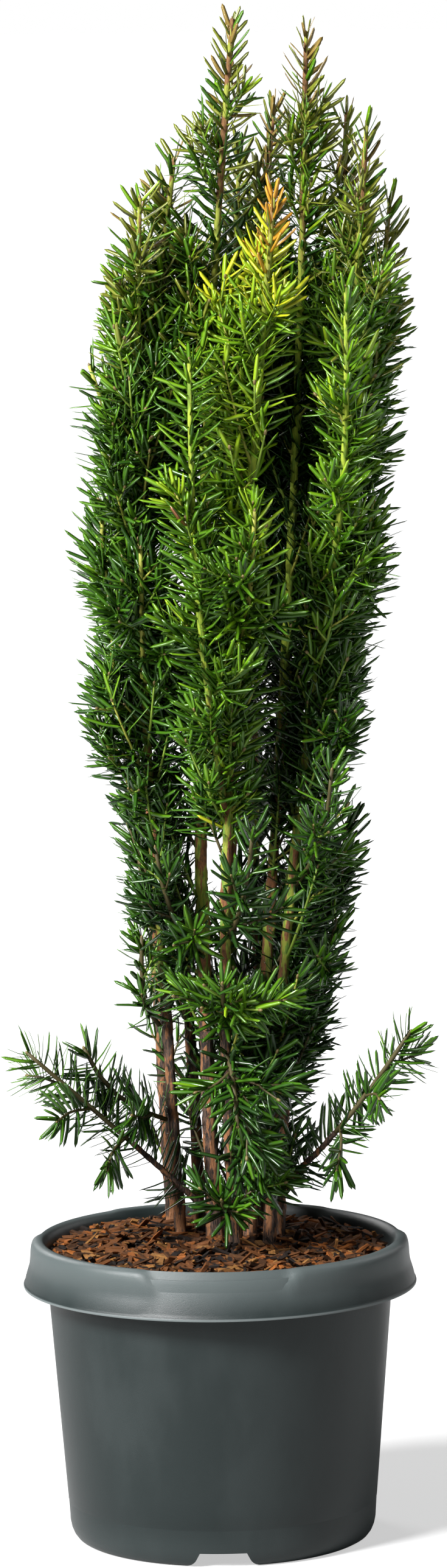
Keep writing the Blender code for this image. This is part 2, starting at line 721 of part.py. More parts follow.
class Space:
    """Middle lines already taken: by limbs, and by each twig of each mass."""

    def __init__(self):
        self.rows = []
        self.table = None

    def add(self, points, radii, mass, twig=0):
        """Take the room along a line; a limb's lines belong to no mass."""
        for a, b, radius in zip(points, points[1:], radii):
            self.rows.append((*a, *b, radius, mass, twig))
        self.table = None

    def arrays(self):
        """Starts, spans, radii, masses and twig numbers of all the lines."""
        if self.table is None:
            numbers = np.array([row[:7] for row in self.rows])
            masses = np.array([row[7] for row in self.rows])
            twigs = np.array([row[8] for row in self.rows])
            spans = numbers[:, 3:6] - numbers[:, 0:3]
            self.table = (numbers[:, 0:3], spans, numbers[:, 6], masses, twigs)
        return self.table

    def distances(self, point):
        """Distance from a point to every middle line."""
        starts, spans, _, _, _ = self.arrays()
        share = (((np.array(point) - starts) * spans).sum(1) / (spans * spans).sum(1)).clip(0, 1)
        return np.linalg.norm(starts + spans * share[:, None] - np.array(point), axis=1)

    def room(self, point, mass, margin):
        """Whether a ball at a point is clear of the limbs, the pot and all other masses."""
        _, _, radii, masses, _ = self.arrays()
        gaps = self.distances(point) - radii
        return above_pot(point, margin) and not (gaps[masses != mass] < margin).any()

    def nearest(self, point, mass, twig, margin):
        """Whether a ball at a point is in a twig's own space: nearer to it than to all others."""
        _, _, radii, masses, twigs = self.arrays()
        gaps = self.distances(point)
        limbs = masses == ""
        if (gaps[limbs] < radii[limbs] + margin).any() or not above_pot(point, margin):
            return False
        own = (masses == mass) & (twigs == twig)
        return gaps[~limbs & ~own].min() > gaps[own].min() + 2 * margin


def above_pot(point, margin):
    """Whether a ball at a point is clear of the mulch and of the pot's rim."""
    radius = math.hypot(point[0], point[1])
    if radius < 0.104:
        return point[2] > mulch_height(point[0], point[1]) + margin + 0.001
    return point[2] > RIM_HEIGHT + 0.003 + margin or radius > SKIRT_RADIUS + 0.004 + margin


def side_twigs(mass, rng):
    """Middle lines of the side twigs of one main stem."""
    for share, tip in SET_TWIGS.get(mass.name, ()):
        point, direction = path_point(mass.points, share)
        tip = Vector(tip)
        yield [point, point.lerp(tip, 0.5) + direction * 0.004, tip]
    if mass.name in SET_TWIGS:
        return
    count = max(1, round(path_length(mass.points) / TWIG_SPACING))
    turn = rng.uniform(0, 2 * math.pi)
    for index in range(count):
        share = 0.14 + 0.62 * index / count
        point, direction = path_point(mass.points, share)
        if mass.upright:
            side = Matrix.Rotation(turn + index * GOLDEN_ANGLE, 3, direction) @ across(direction)
        else:
            flip = 1.0 if index % 2 else -1.0
            side = Matrix.Rotation(flip * 0.35, 3, direction) @ (across(direction) * flip)
        reach = rng.uniform(0.034, 0.046) * (1.0 - (0.65 if mass.upright else 0.4) * share)
        tilt = (UPRIGHT_TWIG_ANGLE if mass.upright else TWIG_ANGLE) * rng.uniform(0.85, 1.25)
        heading = direction * math.cos(tilt) + side * math.sin(tilt)
        bend = direction * 0.25 + Vector((0.0, 0.0, 0.15))
        middle = point + heading * reach * 0.5
        yield [point, middle, middle + (heading + bend).normalized() * reach * 0.5]


def grow_skeletons(space):
    """The twigs of every mass, each side twig kept only where it has room."""
    masses = main_stems(space)
    skeletons = []
    for index, mass in enumerate(masses):
        rng = random.Random(200 + index)
        twigs = [Twig(mass.points, TWIG_RADIUS, mass.upright)]
        for points in side_twigs(mass, rng):
            tests = [points[1], points[1].lerp(points[2], 0.5), points[2]]
            if all(space.room(p, mass.name, TWIG_RADIUS + TWIG_ROOM) for p in tests):
                space.add(points, [TWIG_RADIUS] * 2, mass.name, len(twigs))
                twigs.append(Twig(points, TWIG_RADIUS * 0.85, mass.upright))
        skeletons.append((mass, twigs))
    return skeletons


def needle_reach(root, heading, length, owner, space):
    """The longest of a few lengths at which a needle stays in its twig's space, or none."""
    for share in NEEDLE_REACHES:
        reach = length * share
        tests = [(root + heading * reach * step, NEEDLE_ROOM * (1.0 - step)) for step in NEEDLE_STEPS]
        if all(space.nearest(point, *owner, margin + GAP) for point, margin in tests):
            return reach
    return 0.0


def spiky_twig(twig, owner, nodes, rng, space):
    """A three-sided twig with needles drawn out of its sides, but none where others leave it."""
    count = max(3, round(path_length(twig.points) / NEEDLE_SPACING))
    spots = [path_point(twig.points, i / count) for i in range(count + 1)]
    points = [spot for spot, _ in spots]
    radii = [twig.radius + (TWIG_TIP_RADIUS - twig.radius) * i / count for i in range(count + 1)]
    if owner[1]:
        radii[0] = TWIG_ROOT_RADIUS
    twist = TWIST if twig.upright else 0.0
    start = across(spots[0][1])
    if not twig.upright:
        start = start.cross(spots[0][1])
    shape = tube(tube_frames(points, twist, start), radii, 3)
    for index, faces in enumerate(shape.lengths):
        middle = points[index].lerp(points[index + 1], 0.5)
        if any((middle - node).length < NODE_ROOM for node in nodes):
            continue
        direction = spots[index][1]
        narrowing = 1.0 - 0.5 * smooth_step(((index + 0.5) / count - 0.7) / 0.3)
        spread = math.radians(rng.uniform(52, 62)) * narrowing
        roots = [(face, face.calc_center_median()) for face in faces]
        lowest = min(root.z for _, root in roots)
        for face, root in roots:
            length = NEEDLE_LENGTH * rng.uniform(0.82, 1.08)
            if not twig.upright and root.z == lowest:
                continue
            heading = direction * math.cos(spread) + (root - middle).normalized() * math.sin(spread)
            reach = needle_reach(root, heading, length, owner, space)
            if reach:
                bmesh.ops.poke(shape.bm, faces=[face])["verts"][0].co = root + heading * reach
    reach = needle_reach(points[-1], spots[-1][1], TIP_NEEDLE, owner, space)
    bmesh.ops.poke(shape.bm, faces=[shape.last])["verts"][0].co = points[-1] + spots[-1][1] * reach
    return shape


def join_all(base, pieces, solver):
    """Join a collection of closed pieces to a base by one Boolean union."""
    union = base.modifiers.new("join", "BOOLEAN")
    union.operation = "UNION"
    union.operand_type = "COLLECTION"
    union.collection = pieces
    union.solver = solver
    mesh = evaluated_mesh(base)
    base.modifiers.clear()
    return mesh


def keep_largest_shell(mesh):
    """Drop loose scraps and sealed hollows."""
    bm = bmesh.new()
    bm.from_mesh(mesh)
    unseen = set(bm.faces)
    shells = []
    while unseen:
        stack = [unseen.pop()]
        shell = list(stack)
        while stack:
            for edge in stack.pop().edges:
                for face in edge.link_faces:
                    if face in unseen:
                        unseen.remove(face)
                        shell.append(face)
                        stack.append(face)
        shells.append(shell)
    largest = max(shells, key=len)
    scraps = [face for shell in shells if shell is not largest for face in shell]
    bmesh.ops.delete(bm, geom=scraps, context="FACES")
    bm.to_mesh(mesh)
    bm.free()


def make_mass(mass, twigs, index, space, trees, model, material):
    """One mass of needles: its spiky twigs joined into a single solid."""
    rng = random.Random(540 + index)
    pieces = new_collection("twigs_of_" + mass.name)
    nodes = [twig.points[0] for twig in twigs[1:]]
    main = spiky_twig(twigs[0], (mass.name, 0), nodes, rng, space)
    if mass.parent:
        seat_first_ring(main.first, (mass.points[1] - mass.points[0]).normalized(), trees[mass.parent])
    base = object_from(main.bm, "foliage_" + mass.name, model)
    for number, twig in enumerate(twigs[1:], 1):
        side = spiky_twig(twig, (mass.name, number), twig.points[:1], rng, space)
        object_from(side.bm, "twig", pieces)
    base.data = join_all(base, pieces, "MANIFOLD" if mass.name in JOINED_BY_MANIFOLD else "EXACT")
    keep_largest_shell(base.data)
    for item in list(pieces.objects):
        bpy.data.objects.remove(item, do_unlink=True)
    bpy.data.collections.remove(pieces)
    finish(base, material)


def main():
    """Build the whole plant."""
    clear_scene()
    model = new_collection("columnar_yew")
    cutters = new_collection("cutters")
    make_pot(model, cutters)
    make_root_ball(model)
    make_mulch(model, cutters)

    bark = new_material(*STEM_BARK)
    limbs = {}
    trees = {}
    for leader in LEADERS:
        stem, limb = make_stem(leader, model, bark)
        limbs["stem_" + leader.name] = limb
        bm = bmesh.new()
        bm.from_mesh(stem.data)
        trees[leader.name] = BVHTree.FromBMesh(bm)
        bm.free()
    for bough in BOUGHS:
        make_bough(bough, limbs, trees, model, bark)

    space = Space()
    for limb in limbs.values():
        space.add(limb.points, limb.radii, "")
    green = new_material(*NEEDLE_GREEN)
    for index, (mass, twigs) in enumerate(grow_skeletons(space)):
        make_mass(mass, twigs, index, space, trees, model, green)


if __name__ == "__main__":
    main()
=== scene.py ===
"""A columnar yew of about one metre in its round nursery pot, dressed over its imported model.

The plant's middle lines grow by the same seeded rule as the solids: stems, low boughs and
foliage masses. The rule is then carried on to finer twigs and to the needles themselves,
kept within the reach of the masses. Metres, +Z up, front towards -Y, origin under the pot.
"""

import json
import math
import random
from collections import namedtuple

import bmesh
import bpy
import numpy as np
from bpy.props import FloatProperty, FloatVectorProperty, IntProperty, PointerProperty
from mathutils import Matrix, Vector, noise

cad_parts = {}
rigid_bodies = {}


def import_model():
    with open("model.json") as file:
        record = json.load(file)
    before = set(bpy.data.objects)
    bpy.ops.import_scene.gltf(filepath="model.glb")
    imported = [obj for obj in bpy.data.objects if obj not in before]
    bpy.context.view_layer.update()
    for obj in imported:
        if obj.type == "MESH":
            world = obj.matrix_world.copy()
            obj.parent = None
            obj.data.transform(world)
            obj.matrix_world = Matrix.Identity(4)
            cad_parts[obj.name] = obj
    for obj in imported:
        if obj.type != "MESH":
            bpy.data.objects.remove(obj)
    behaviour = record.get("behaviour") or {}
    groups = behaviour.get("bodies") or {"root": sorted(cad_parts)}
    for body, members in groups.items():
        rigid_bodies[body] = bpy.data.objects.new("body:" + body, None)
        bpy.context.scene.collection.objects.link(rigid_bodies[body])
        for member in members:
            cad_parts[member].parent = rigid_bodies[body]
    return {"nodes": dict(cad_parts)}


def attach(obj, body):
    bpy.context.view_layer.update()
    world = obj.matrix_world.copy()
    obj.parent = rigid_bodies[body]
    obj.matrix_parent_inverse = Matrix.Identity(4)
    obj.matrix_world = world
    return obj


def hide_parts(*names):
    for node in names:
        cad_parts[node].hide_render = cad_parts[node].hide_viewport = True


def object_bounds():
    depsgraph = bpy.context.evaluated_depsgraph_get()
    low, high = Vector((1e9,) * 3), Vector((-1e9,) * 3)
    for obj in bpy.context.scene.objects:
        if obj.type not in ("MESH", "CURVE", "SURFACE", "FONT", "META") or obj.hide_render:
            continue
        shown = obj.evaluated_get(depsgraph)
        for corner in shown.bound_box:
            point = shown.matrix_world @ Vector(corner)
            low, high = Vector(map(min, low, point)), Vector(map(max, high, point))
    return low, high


bl_info = {
    "name": "Columnar yew in a nursery pot",
    "version": (1, 0, 0),
    "blender": (4, 5, 0),
    "location": "3D View > Sidebar > Yew",
    "description": "Needles, twigs, bark, mulch and pot of a young columnar yew, in a plain studio",
    "category": "Object",
}

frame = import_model()
CAD_BOX = [list(corner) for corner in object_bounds()]

# Pot and mulch, as the solids have them
RIM_HEIGHT = 0.1973
WALL = 0.0017
BODY_FOOT_RADIUS = 0.1008
BODY_FOOT_HEIGHT = 0.015
BODY_TOP_RADIUS = 0.1149
BODY_TOP_HEIGHT = 0.1925
FLOOR_UNDER = 0.0098
FLOOR_TOP = 0.0116
FOOT_RING_RADIUS = 0.0908
CENTRE_PAD_RADIUS = 0.0205
LEDGE_HEIGHT = 0.1865
LEDGE_STEP = 0.0021
LIP_RADIUS = 0.1156
SKIRT_RADIUS = 0.129
SKIRT_FOOT = 0.1675
PLAIN_HALF_ANGLE = math.radians(23)
PLAIN_SEGMENTS = 3
NOTCH_COUNT = 3
NOTCH_TOP_HALF = 0.0152
NOTCH_CORNER_RADIUS = 0.009
NOTCH_FOOT_HALF = 0.0256
NOTCH_ARC = 62
NOTCH_STEPS = 8
SEAM_HEIGHT = 0.0250
SEAM_STEP = 0.0006
SEAM_DEPTH = 0.00022
DRAIN_COUNT = 6
DRAIN_RADIUS = 0.0045
DRAIN_CIRCLE = 0.062
SOIL_TOP = 0.168
MULCH_EDGE = 0.1872
MULCH_MOUND = 0.0065
MULCH_RADIUS = 0.1084
HEAP_X = -0.045
HEAP_Y = 0.035
HEAP_SPREAD = 0.0028
MOUND_Y = 0.02
MOUND_SPREAD = 0.0022

# Where the rim is painted lighter as painted light from above, and where a painted highlight runs
# along its lower lip: from and to, in radius and in height
RIM_OUTSIDE = (0.1150, 0.1172)
RIM_PAINTED_LIGHT = (0.164, 0.196)
RIM_PAINTED_HIGHLIGHT = (0.1696, 0.1686)
RIM_HIGHLIGHT_COLOUR = (0.135, 0.155, 0.155)

# What stays clear of the mulch and of the rim
RIM_INSIDE = 0.104
MULCH_ROOM = 0.001
RIM_ROOM = 0.003
SKIRT_ROOM = 0.004

# Stems, twigs and spaces, as the source's rule has them
GAP = 0.0003
STEM_FOOT = SOIL_TOP + GAP
FOOT_RINGS = (0.0, 0.010, 0.024)
EVEN_RINGS_FROM = 0.05
STEM_TOP_RADIUS = 0.0021
EVEN_RINGS = 6
FLARE_HEIGHT = 0.014
BOUGH_GAP_SHARE = 0.0025
TIP_NEEDLE = 0.016
TWIG_RADIUS = 0.0019
TWIG_SPACING = 0.047
TWIG_ROOM = 0.0034
TWIG_ANGLE = math.radians(40)
UPRIGHT_TWIG_ANGLE = math.radians(28)
GOLDEN_ANGLE = math.radians(137.5)
TURN_ASIDE = (0, 10, -10, 20, -20, 30, -30, 42, -42)
BOUGH_TAPER = 0.35
LEAFY_LENGTH = 0.40
BARK_STEP = 0.0034
MOST_LINES = 20000

# The crown: its middle, where it is full, and what grows otherwise
CENTRE_X = 0.020
CENTRE_Y = 0.015
FULL_FROM = 0.46
FULL_OVER = 0.14
INSIDE_RADIUS = 0.070
TWIG_REACH = 0.013
TWIG_REACH_MORE = 0.015
NEEDLE_REACH = 0.021
NEEDLE_REACH_MORE = 0.007
BARE_STEMS = ("left", "left_back")
SPIRES_ABOVE = 0.845
TUFTS_LEFT_OF = -0.005
OPEN_MASSES = ("low_left", "low_right", "low_mid")
SUNLIT_MASSES = ("front_6", "top_front_left", "top_right_front")
# Tufts and hollows along the crown's left and right sides: height and place
CROWN_LEFT = (
    (0.20, -0.052), (0.37, -0.058), (0.44, -0.053), (0.465, -0.066), (0.49, -0.051),
    (0.535, -0.091), (0.56, -0.075), (0.605, -0.068), (0.63, -0.083), (0.68, -0.079),
    (0.70, -0.068), (0.77, -0.079), (0.80, -0.110),
)
CROWN_RIGHT = (
    (0.20, 0.044), (0.30, 0.058), (0.335, 0.074), (0.465, 0.097), (0.51, 0.084), (0.56, 0.099),
    (0.585, 0.094), (0.605, 0.107), (0.70, 0.118), (0.77, 0.126), (0.80, 0.150),
)
# How far inside those sides twigs end, from how near they lean in, and over what heights
DRAWN_IN = 0.007
DRAWN_FROM = 0.008
DRAWN_OVER = (-0.018, 0.0, 0.018)
# Openings through which the stems are seen: left, right, back, low and high side
STEM_VIEWS = (
    (-0.018, 0.056, 0.010, 0.376, 0.475),
    (-0.046, -0.020, 0.024, 0.205, 0.365),
    (-0.014, 0.006, 0.010, 0.198, 0.345),
    (0.037, 0.058, 0.004, 0.570, 0.775),
)

# Rooms, tilts and lengths of the finer twigs
LIMB_ROOM = 0.0042
SPUR_ROOM = 0.0036
SIDE_ROOM = 0.0032
SPUR_RADIUS = 0.0011
SIDE_RADIUS = 0.0008
TIP_RADIUS = 0.0006
TIP_INSET = 0.003
CURVE_STEPS = 4
SPURS_FROM = 0.205
BARE_SPURS_FROM = 0.235
SPUR_TILT = (20, 42)
SPUR_LENGTHS = ((0.046, 0.060), (0.032, 0.042))
SHORT_SPUR = 0.022
LOW_SPURS_BELOW = 0.40
LOW_SPUR_LENGTH = 0.030
SIDE_TILT = (32, 50)
UPRIGHT_TILT = (18, 34)
SIDE_SPACING = 0.0090
SIDE_LENGTHS = (0.020, 0.032)
SPUR_SIDE_SPACING = 0.0110
SPUR_SIDE_LENGTHS = (0.014, 0.024)

# Needles: outline of the blade as shares of length and width, its ridge, and how near to the
# limbs and to the edges of the box, and how far from the crown's middle, they may lie
BLADE = ((0.00, 0.36), (0.10, 0.94), (0.50, 1.00), (0.88, 0.80))
BLADE_TIP = (1.0, 0.0, 0.3)
RIDGE = 0.00042
LIMB_CLEARANCE = 0.0004
BOX_ROOM_LOW = 0.001
BOX_ROOM_HIGH = 0.0005
INNER_RADIUS = 0.060
LOW_INNER_RADIUS = 0.075
LOW_CROWN = 0.42
RAGGED = 0.010
PIECE_TRIANGLES = 190000

# Where each kind of random draw starts
SEEDS = {
    "mass": 200, "spur": 300, "side": 2000, "spur_side": 5000, "needle": 7000, "shade": 9000,
    "bud": 12000, "chip": 61,
}

Leader = namedtuple("Leader", "name foot tip bow sway radius flare bare_top")
Fork = namedtuple("Fork", "name parent height tip bow")
Shoot = namedtuple("Shoot", "name parent height azimuth reach rise")
Bough = namedtuple("Bough", "name parent height knee tip radius end")
Mass = namedtuple("Mass", "name points upright")
Sprig = namedtuple("Sprig", "mass points foot_radius tip_radius upright order")
Needles = namedtuple("Needles", "root heading facing axis length width bend sickle shares")

# Feet and tips are places; bow and sway bend the middle line sideways between them.
LEADERS = (
    Leader("centre", (-0.002, 0.018), (0.019, -0.002, 1.000),
           (-0.016, -0.009), (0.000, 0.004), 0.0056, 0.005, 0.875),
    Leader("tall_right", (0.018, 0.026), (0.066, 0.012, 0.990),
           (0.006, 0.004), (-0.001, 0.001), 0.0048, 0.0035, 0.865),
    Leader("back_centre", (0.008, 0.046), (0.046, 0.052, 0.943),
           (-0.012, 0.001), (0.001, 0.001), 0.0042, 0.0025, 0.815),
    Leader("front", (0.012, -0.002), (0.044, -0.045, 0.888),
           (-0.016, -0.008), (-0.003, 0.003), 0.0045, 0.003, 0.745),
    Leader("right_back", (0.038, 0.030), (0.092, 0.030, 0.939),
           (0.000, 0.013), (-0.003, 0.004), 0.0045, 0.003, 0.800),
    Leader("right", (0.032, 0.006), (0.104, -0.012, 0.931),
           (-0.003, 0.005), (-0.005, -0.001), 0.0044, 0.003, 0.785),
    Leader("left_back", (-0.012, 0.042), (-0.019, 0.000, 0.911),
           (-0.018, 0.007), (0.007, 0.002), 0.0042, 0.0025, 0.775),
    Leader("left", (-0.024, 0.026), (-0.042, -0.020, 0.887),
           (-0.010, 0.002), (0.002, 0.006), 0.0042, 0.003, 0.745),
    Leader("back_left", (-0.030, 0.048), (-0.036, 0.062, 0.822),
           (-0.010, 0.010), (0.000, 0.004), 0.0040, 0.0025, 0.675),
    Leader("back_right", (0.028, 0.050), (0.030, 0.094, 0.846),
           (-0.002, 0.012), (0.000, 0.003), 0.0042, 0.0025, 0.695),
)

# Leaders that leave a stem part of the way up and grow on as a mass
FORKS = (
    Fork("right_front", "right", 0.585, (0.088, -0.058, 0.830), (0.006, -0.012)),
    Fork("far_right", "right", 0.632, (0.118, 0.010, 0.884), (0.005, 0.009)),
    Fork("inner_back", "back_centre", 0.690, (0.022, 0.045, 0.918), (-0.004, 0.000)),
    Fork("front_left", "front", 0.485, (-0.012, -0.066, 0.786), (-0.006, -0.018)),
    Fork("far_back", "right_back", 0.560, (0.070, 0.082, 0.840), (0.002, 0.014)),
)

# Side shoots: height on the stem, azimuth (0 is +X, 90 is the back), reach and rise
SHOOTS = (
    Shoot("left_1", "left", 0.685, 185, 0.036, 0.085),
    Shoot("left_2", "left", 0.600, 195, 0.028, 0.075),
    Shoot("left_3", "left", 0.535, 165, 0.032, 0.062),
    Shoot("left_4", "left", 0.484, 192, 0.046, 0.044),
    Shoot("left_5", "left", 0.400, 175, 0.020, 0.062),
    Shoot("left_6", "left", 0.335, 205, 0.024, 0.060),
    Shoot("front_1", "front", 0.216, 258, 0.032, 0.014),
    Shoot("front_2", "front", 0.322, 278, 0.044, -0.040),
    Shoot("front_3", "front", 0.345, 268, 0.042, 0.030),
    Shoot("front_4", "front", 0.400, 292, 0.045, 0.075),
    Shoot("front_5", "centre", 0.385, 235, 0.046, 0.075),
    Shoot("front_6", "front", 0.590, 285, 0.040, 0.090),
    Shoot("front_7", "left", 0.570, 270, 0.044, 0.085),
    Shoot("front_8", "front", 0.255, 300, 0.034, -0.008),
    Shoot("right_1", "right", 0.600, 348, 0.034, 0.080),
    Shoot("right_2", "right", 0.495, 356, 0.044, 0.070),
    Shoot("right_3", "right_back", 0.400, 350, 0.042, 0.065),
    Shoot("right_4", "right_back", 0.300, 340, 0.034, 0.062),
    Shoot("right_5", "right", 0.430, 300, 0.050, 0.080),
    Shoot("right_6", "right", 0.345, 5, 0.044, 0.060),
    Shoot("back_1", "right_back", 0.520, 30, 0.042, 0.080),
    Shoot("back_2", "right_back", 0.390, 62, 0.046, 0.075),
    Shoot("back_3", "back_right", 0.590, 100, 0.036, 0.085),
    Shoot("back_4", "back_right", 0.440, 85, 0.044, 0.080),
    Shoot("back_5", "back_left", 0.580, 150, 0.044, 0.085),
    Shoot("back_6", "back_left", 0.430, 135, 0.046, 0.080),
    Shoot("back_7", "back_right", 0.300, 100, 0.046, 0.060),
    Shoot("low_mid", "left", 0.272, 215, 0.064, 0.054),
)

# Low boughs: they leave a stem just above the mulch and carry a mass from their end
BOUGHS = (
    Bough("low_left", "centre", 0.208, (-0.056, -0.006, 0.262), (-0.123, -0.030, 0.326),
          0.0024, 0.46),
    Bough("low_right", "right", 0.226, (0.078, -0.026, 0.264), (0.125, -0.048, 0.340),
          0.0024, 0.46),
)

# Side twigs of the low boughs and low front shoots: share along the mass's stem, and tip
SET_TWIGS = {
    "low_left": (
        (0.06, (-0.072, -0.038, 0.250)),
        (0.26, (-0.070, 0.010, 0.294)),
        (0.40, (-0.104, -0.048, 0.284)),
        (0.64, (-0.124, -0.010, 0.308)),
    ),
    "low_right": (
        (0.06, (0.076, -0.054, 0.250)),
        (0.26, (0.094, 0.002, 0.286)),
        (0.40, (0.104, -0.070, 0.300)),
        (0.64, (0.132, -0.030, 0.322)),
    ),
    "front_1": (
        (0.30, (-0.012, -0.034, 0.236)),
        (0.45, (0.034, -0.036, 0.242)),
    ),
    "front_2": (
        (0.30, (-0.014, -0.048, 0.302)),
        (0.40, (0.046, -0.046, 0.306)),
        (0.70, (0.030, -0.066, 0.262)),
    ),
    "front_3": (
        (0.28, (-0.020, -0.046, 0.366)),
        (0.40, (0.044, -0.050, 0.362)),
    ),
}

# Shades of needle, from dark to light, and then those of some tips and of dead needles: name,
# upper side, paler under side; the darkest rows also serve as painted shade deep in the crown
SHADES = (
    ("inner", (0.012, 0.040, 0.006), (0.040, 0.075, 0.014)),
    ("deep", (0.021, 0.072, 0.005), (0.056, 0.118, 0.015)),
    ("green", (0.038, 0.114, 0.005), (0.084, 0.175, 0.017)),
    ("mid", (0.068, 0.174, 0.006), (0.122, 0.235, 0.019)),
    ("bright", (0.124, 0.262, 0.007), (0.182, 0.318, 0.023)),
    ("fresh", (0.235, 0.370, 0.012), (0.290, 0.415, 0.036)),
    ("yellow", (0.420, 0.450, 0.014), (0.440, 0.480, 0.045)),
    ("golden", (0.540, 0.265, 0.022), (0.520, 0.320, 0.055)),
    ("bronze", (0.220, 0.150, 0.034), (0.250, 0.185, 0.050)),
    ("dead", (0.220, 0.090, 0.034), (0.300, 0.150, 0.060)),
    ("olive", (0.165, 0.190, 0.020), (0.230, 0.250, 0.055)),
)
SHADE_NUMBER = {row[0]: number for number, row in enumerate(SHADES)}

# How light a needle is low in the crown, and how much lighter higher up: amount, height from
# which, and over how much
LOW_SHADE = 1.15
LIGHTER_UP = ((1.0, 0.50, 0.22), (0.85, 0.70, 0.16))
# Places of the bright rosette, the channel of painted shade, the golden tip and the dead spot
ROSETTE_X = 0.018
ROSETTE_Z = 0.375
PAINTED_SHADE_CHANNEL_X = 0.047
GOLDEN_RADIUS = 0.016
GOLDEN_ABOVE = 0.846
DEAD_SPOT_X = -0.024
DEAD_SPOT_Z = 0.663

# Share of the needles that are bronze at the tips of some leaders
BRONZE_TIPS = {
    "top_tall_right": 0.50, "top_back_centre": 0.70, "top_left": 0.12, "top_centre": 0.40,
    "top_left_back": 0.12, "top_right": 0.15, "top_right_back": 0.15,
}

# Heights over which the bark changes, and colours on it that aren't in the settings
BARK_MIDDLE = (0.335, 0.395)
BARK_LIME = (0.50, 0.60)
BARK_TOP = (0.79, 0.88)
BARK_MOSS = (0.120, 0.230, 0.022)
BARK_SCARS = ((0.070, 0.030, 0.014), (0.330, 0.130, 0.042))
BARK_LIMES = ((0.340, 0.430, 0.030), (0.180, 0.290, 0.025))

# Twigs and buds
TWIG_COLOURS = {
    "brown": (0.062, 0.050, 0.016), "olive": (0.300, 0.310, 0.045), "green": (0.170, 0.260, 0.028),
}
BUD_COLOUR = (0.150, 0.110, 0.035)
BUD_SIZE = (0.0010, 0.0010, 0.0020)

# Soil and the bed under the chips, from dark to light
SOIL_COLOURS = (
    (0.0, (0.010, 0.006, 0.004)), (0.6, (0.035, 0.021, 0.012)), (1.0, (0.075, 0.045, 0.024)),
)
BED_COLOURS = (
    (0.0, (0.012, 0.006, 0.004)), (0.5, (0.055, 0.024, 0.013)), (1.0, (0.120, 0.050, 0.024)),
)
BED_GRAIN = (0.020, 0.010, 0.006)

# Kinds of bark chip: share of the chips, and colour; the dark chips also stand for painted shade in
# the gaps between chips, and the tan ones also for painted highlights
CHIP_KINDS = (
    ("reddish", 0.32, (0.170, 0.058, 0.013)),
    ("brown", 0.24, (0.080, 0.030, 0.008)),
    ("tan", 0.12, (0.340, 0.155, 0.040)),
    ("orange", 0.10, (0.340, 0.105, 0.018)),
    ("dark", 0.22, (0.014, 0.007, 0.004)),
)
# Circle that the chips are strewn over, circles that limit their length and their corners,
# their thickness, how high they pile, and the share that stands steeply
CHIP_CIRCLE = 0.1085
CHIP_INSET = 0.1106
CHIP_LIMIT = 0.1122
CHIP_THICKNESS = (0.0007, 0.0019)
CHIP_PILE = 0.0042
STEEP_CHIPS = 0.05

# Soft lights: name, place, what it points at, width and height, and watts
LIGHTS = (
    ("key", (-2.3, -2.1, 1.8), (0.0, 0.0, 0.60), (0.7, 1.2), 92),
    ("fill", (2.4, -1.8, 1.6), (0.0, 0.0, 0.5), (0.8, 1.4), 7),
    ("back_left", (-1.6, 2.6, 1.9), (0.0, 0.0, 0.5), (0.9, 1.4), 36),
    ("back_right", (2.4, 1.9, 1.7), (0.0, 0.0, 0.5), (0.9, 1.4), 18),
)
SKY_STRENGTH = 6.6
SKY_SOFTNESS = math.radians(16)
SKY_HEADING = (0.92, 0.80, -1.0)
AROUND_LIGHT = 0.06
FLOOR_RADIUS = 900.0
FLOOR_GLOW = (0.53, 0.53, 0.53)
CAMERA_PLACE = (0.0064, -4.0, 0.9857)
CAMERA_FAR = 2000.0
CAMERA_DIP = 0.1217
CAMERA_ROLL = -0.0128

grown = {}


# Settings


class YewPotSettings(bpy.types.PropertyGroup):
    """Sizes and colours of the pot."""

    colour: FloatVectorProperty(
        name="Pot colour", description="Colour of the moulded plastic", subtype="COLOR",
        default=(0.0070, 0.0120, 0.0120), min=0.0, max=1.0,
    )
    # Real dust on the body and foot, and also painted light over the top of the rim
    dust_and_painted_light: FloatVectorProperty(
        name="Dust colour", description="Colour of dry dust on the rim and foot", subtype="COLOR",
        default=(0.085, 0.102, 0.102), min=0.0, max=1.0,
    )
    steps: IntProperty(
        name="Steps round", description="Facets in one turn of the pot", default=192,
        min=48, max=384,
    )
    swoop: FloatProperty(
        name="Swoop width", description="Angle over which the rim changes from plain to round",
        default=math.radians(4.6), min=0.01, max=0.3, unit="ROTATION",
    )


class YewMulchSettings(bpy.types.PropertyGroup):
    """Sizes of the bark chips."""

    count: IntProperty(
        name="Chips", description="Number of bark chips lying on the soil", default=2900,
        min=100, max=6000,
    )
    length: FloatProperty(
        name="Chip length", description="Length of a long chip", default=0.021, min=0.004, max=0.04,
        unit="LENGTH",
    )
    width: FloatProperty(
        name="Chip width", description="Width of a wide chip", default=0.0043, min=0.001, max=0.02,
        unit="LENGTH",
    )


class YewBarkSettings(bpy.types.PropertyGroup):
    """Sizes and colours of the stems' bark."""

    relief: FloatProperty(
        name="Relief", description="Depth of the furrows and flakes", default=0.0011, min=0.0,
        max=0.003, unit="LENGTH", precision=5,
    )
    old_colour: FloatVectorProperty(
        name="Old bark", description="Colour of the lower stems", subtype="COLOR",
        default=(0.062, 0.036, 0.024), min=0.0, max=1.0,
    )
    flake_colour: FloatVectorProperty(
        name="Flakes", description="Colour where old bark has peeled", subtype="COLOR",
        default=(0.270, 0.115, 0.045), min=0.0, max=1.0,
    )
    young_colour: FloatVectorProperty(
        name="Young bark", description="Colour half way up the stems", subtype="COLOR",
        default=(0.290, 0.320, 0.036), min=0.0, max=1.0,
    )
    top_colour: FloatVectorProperty(
        name="Top bark", description="Colour of the leaders near their tips", subtype="COLOR",
        default=(0.270, 0.125, 0.040), min=0.0, max=1.0,
    )


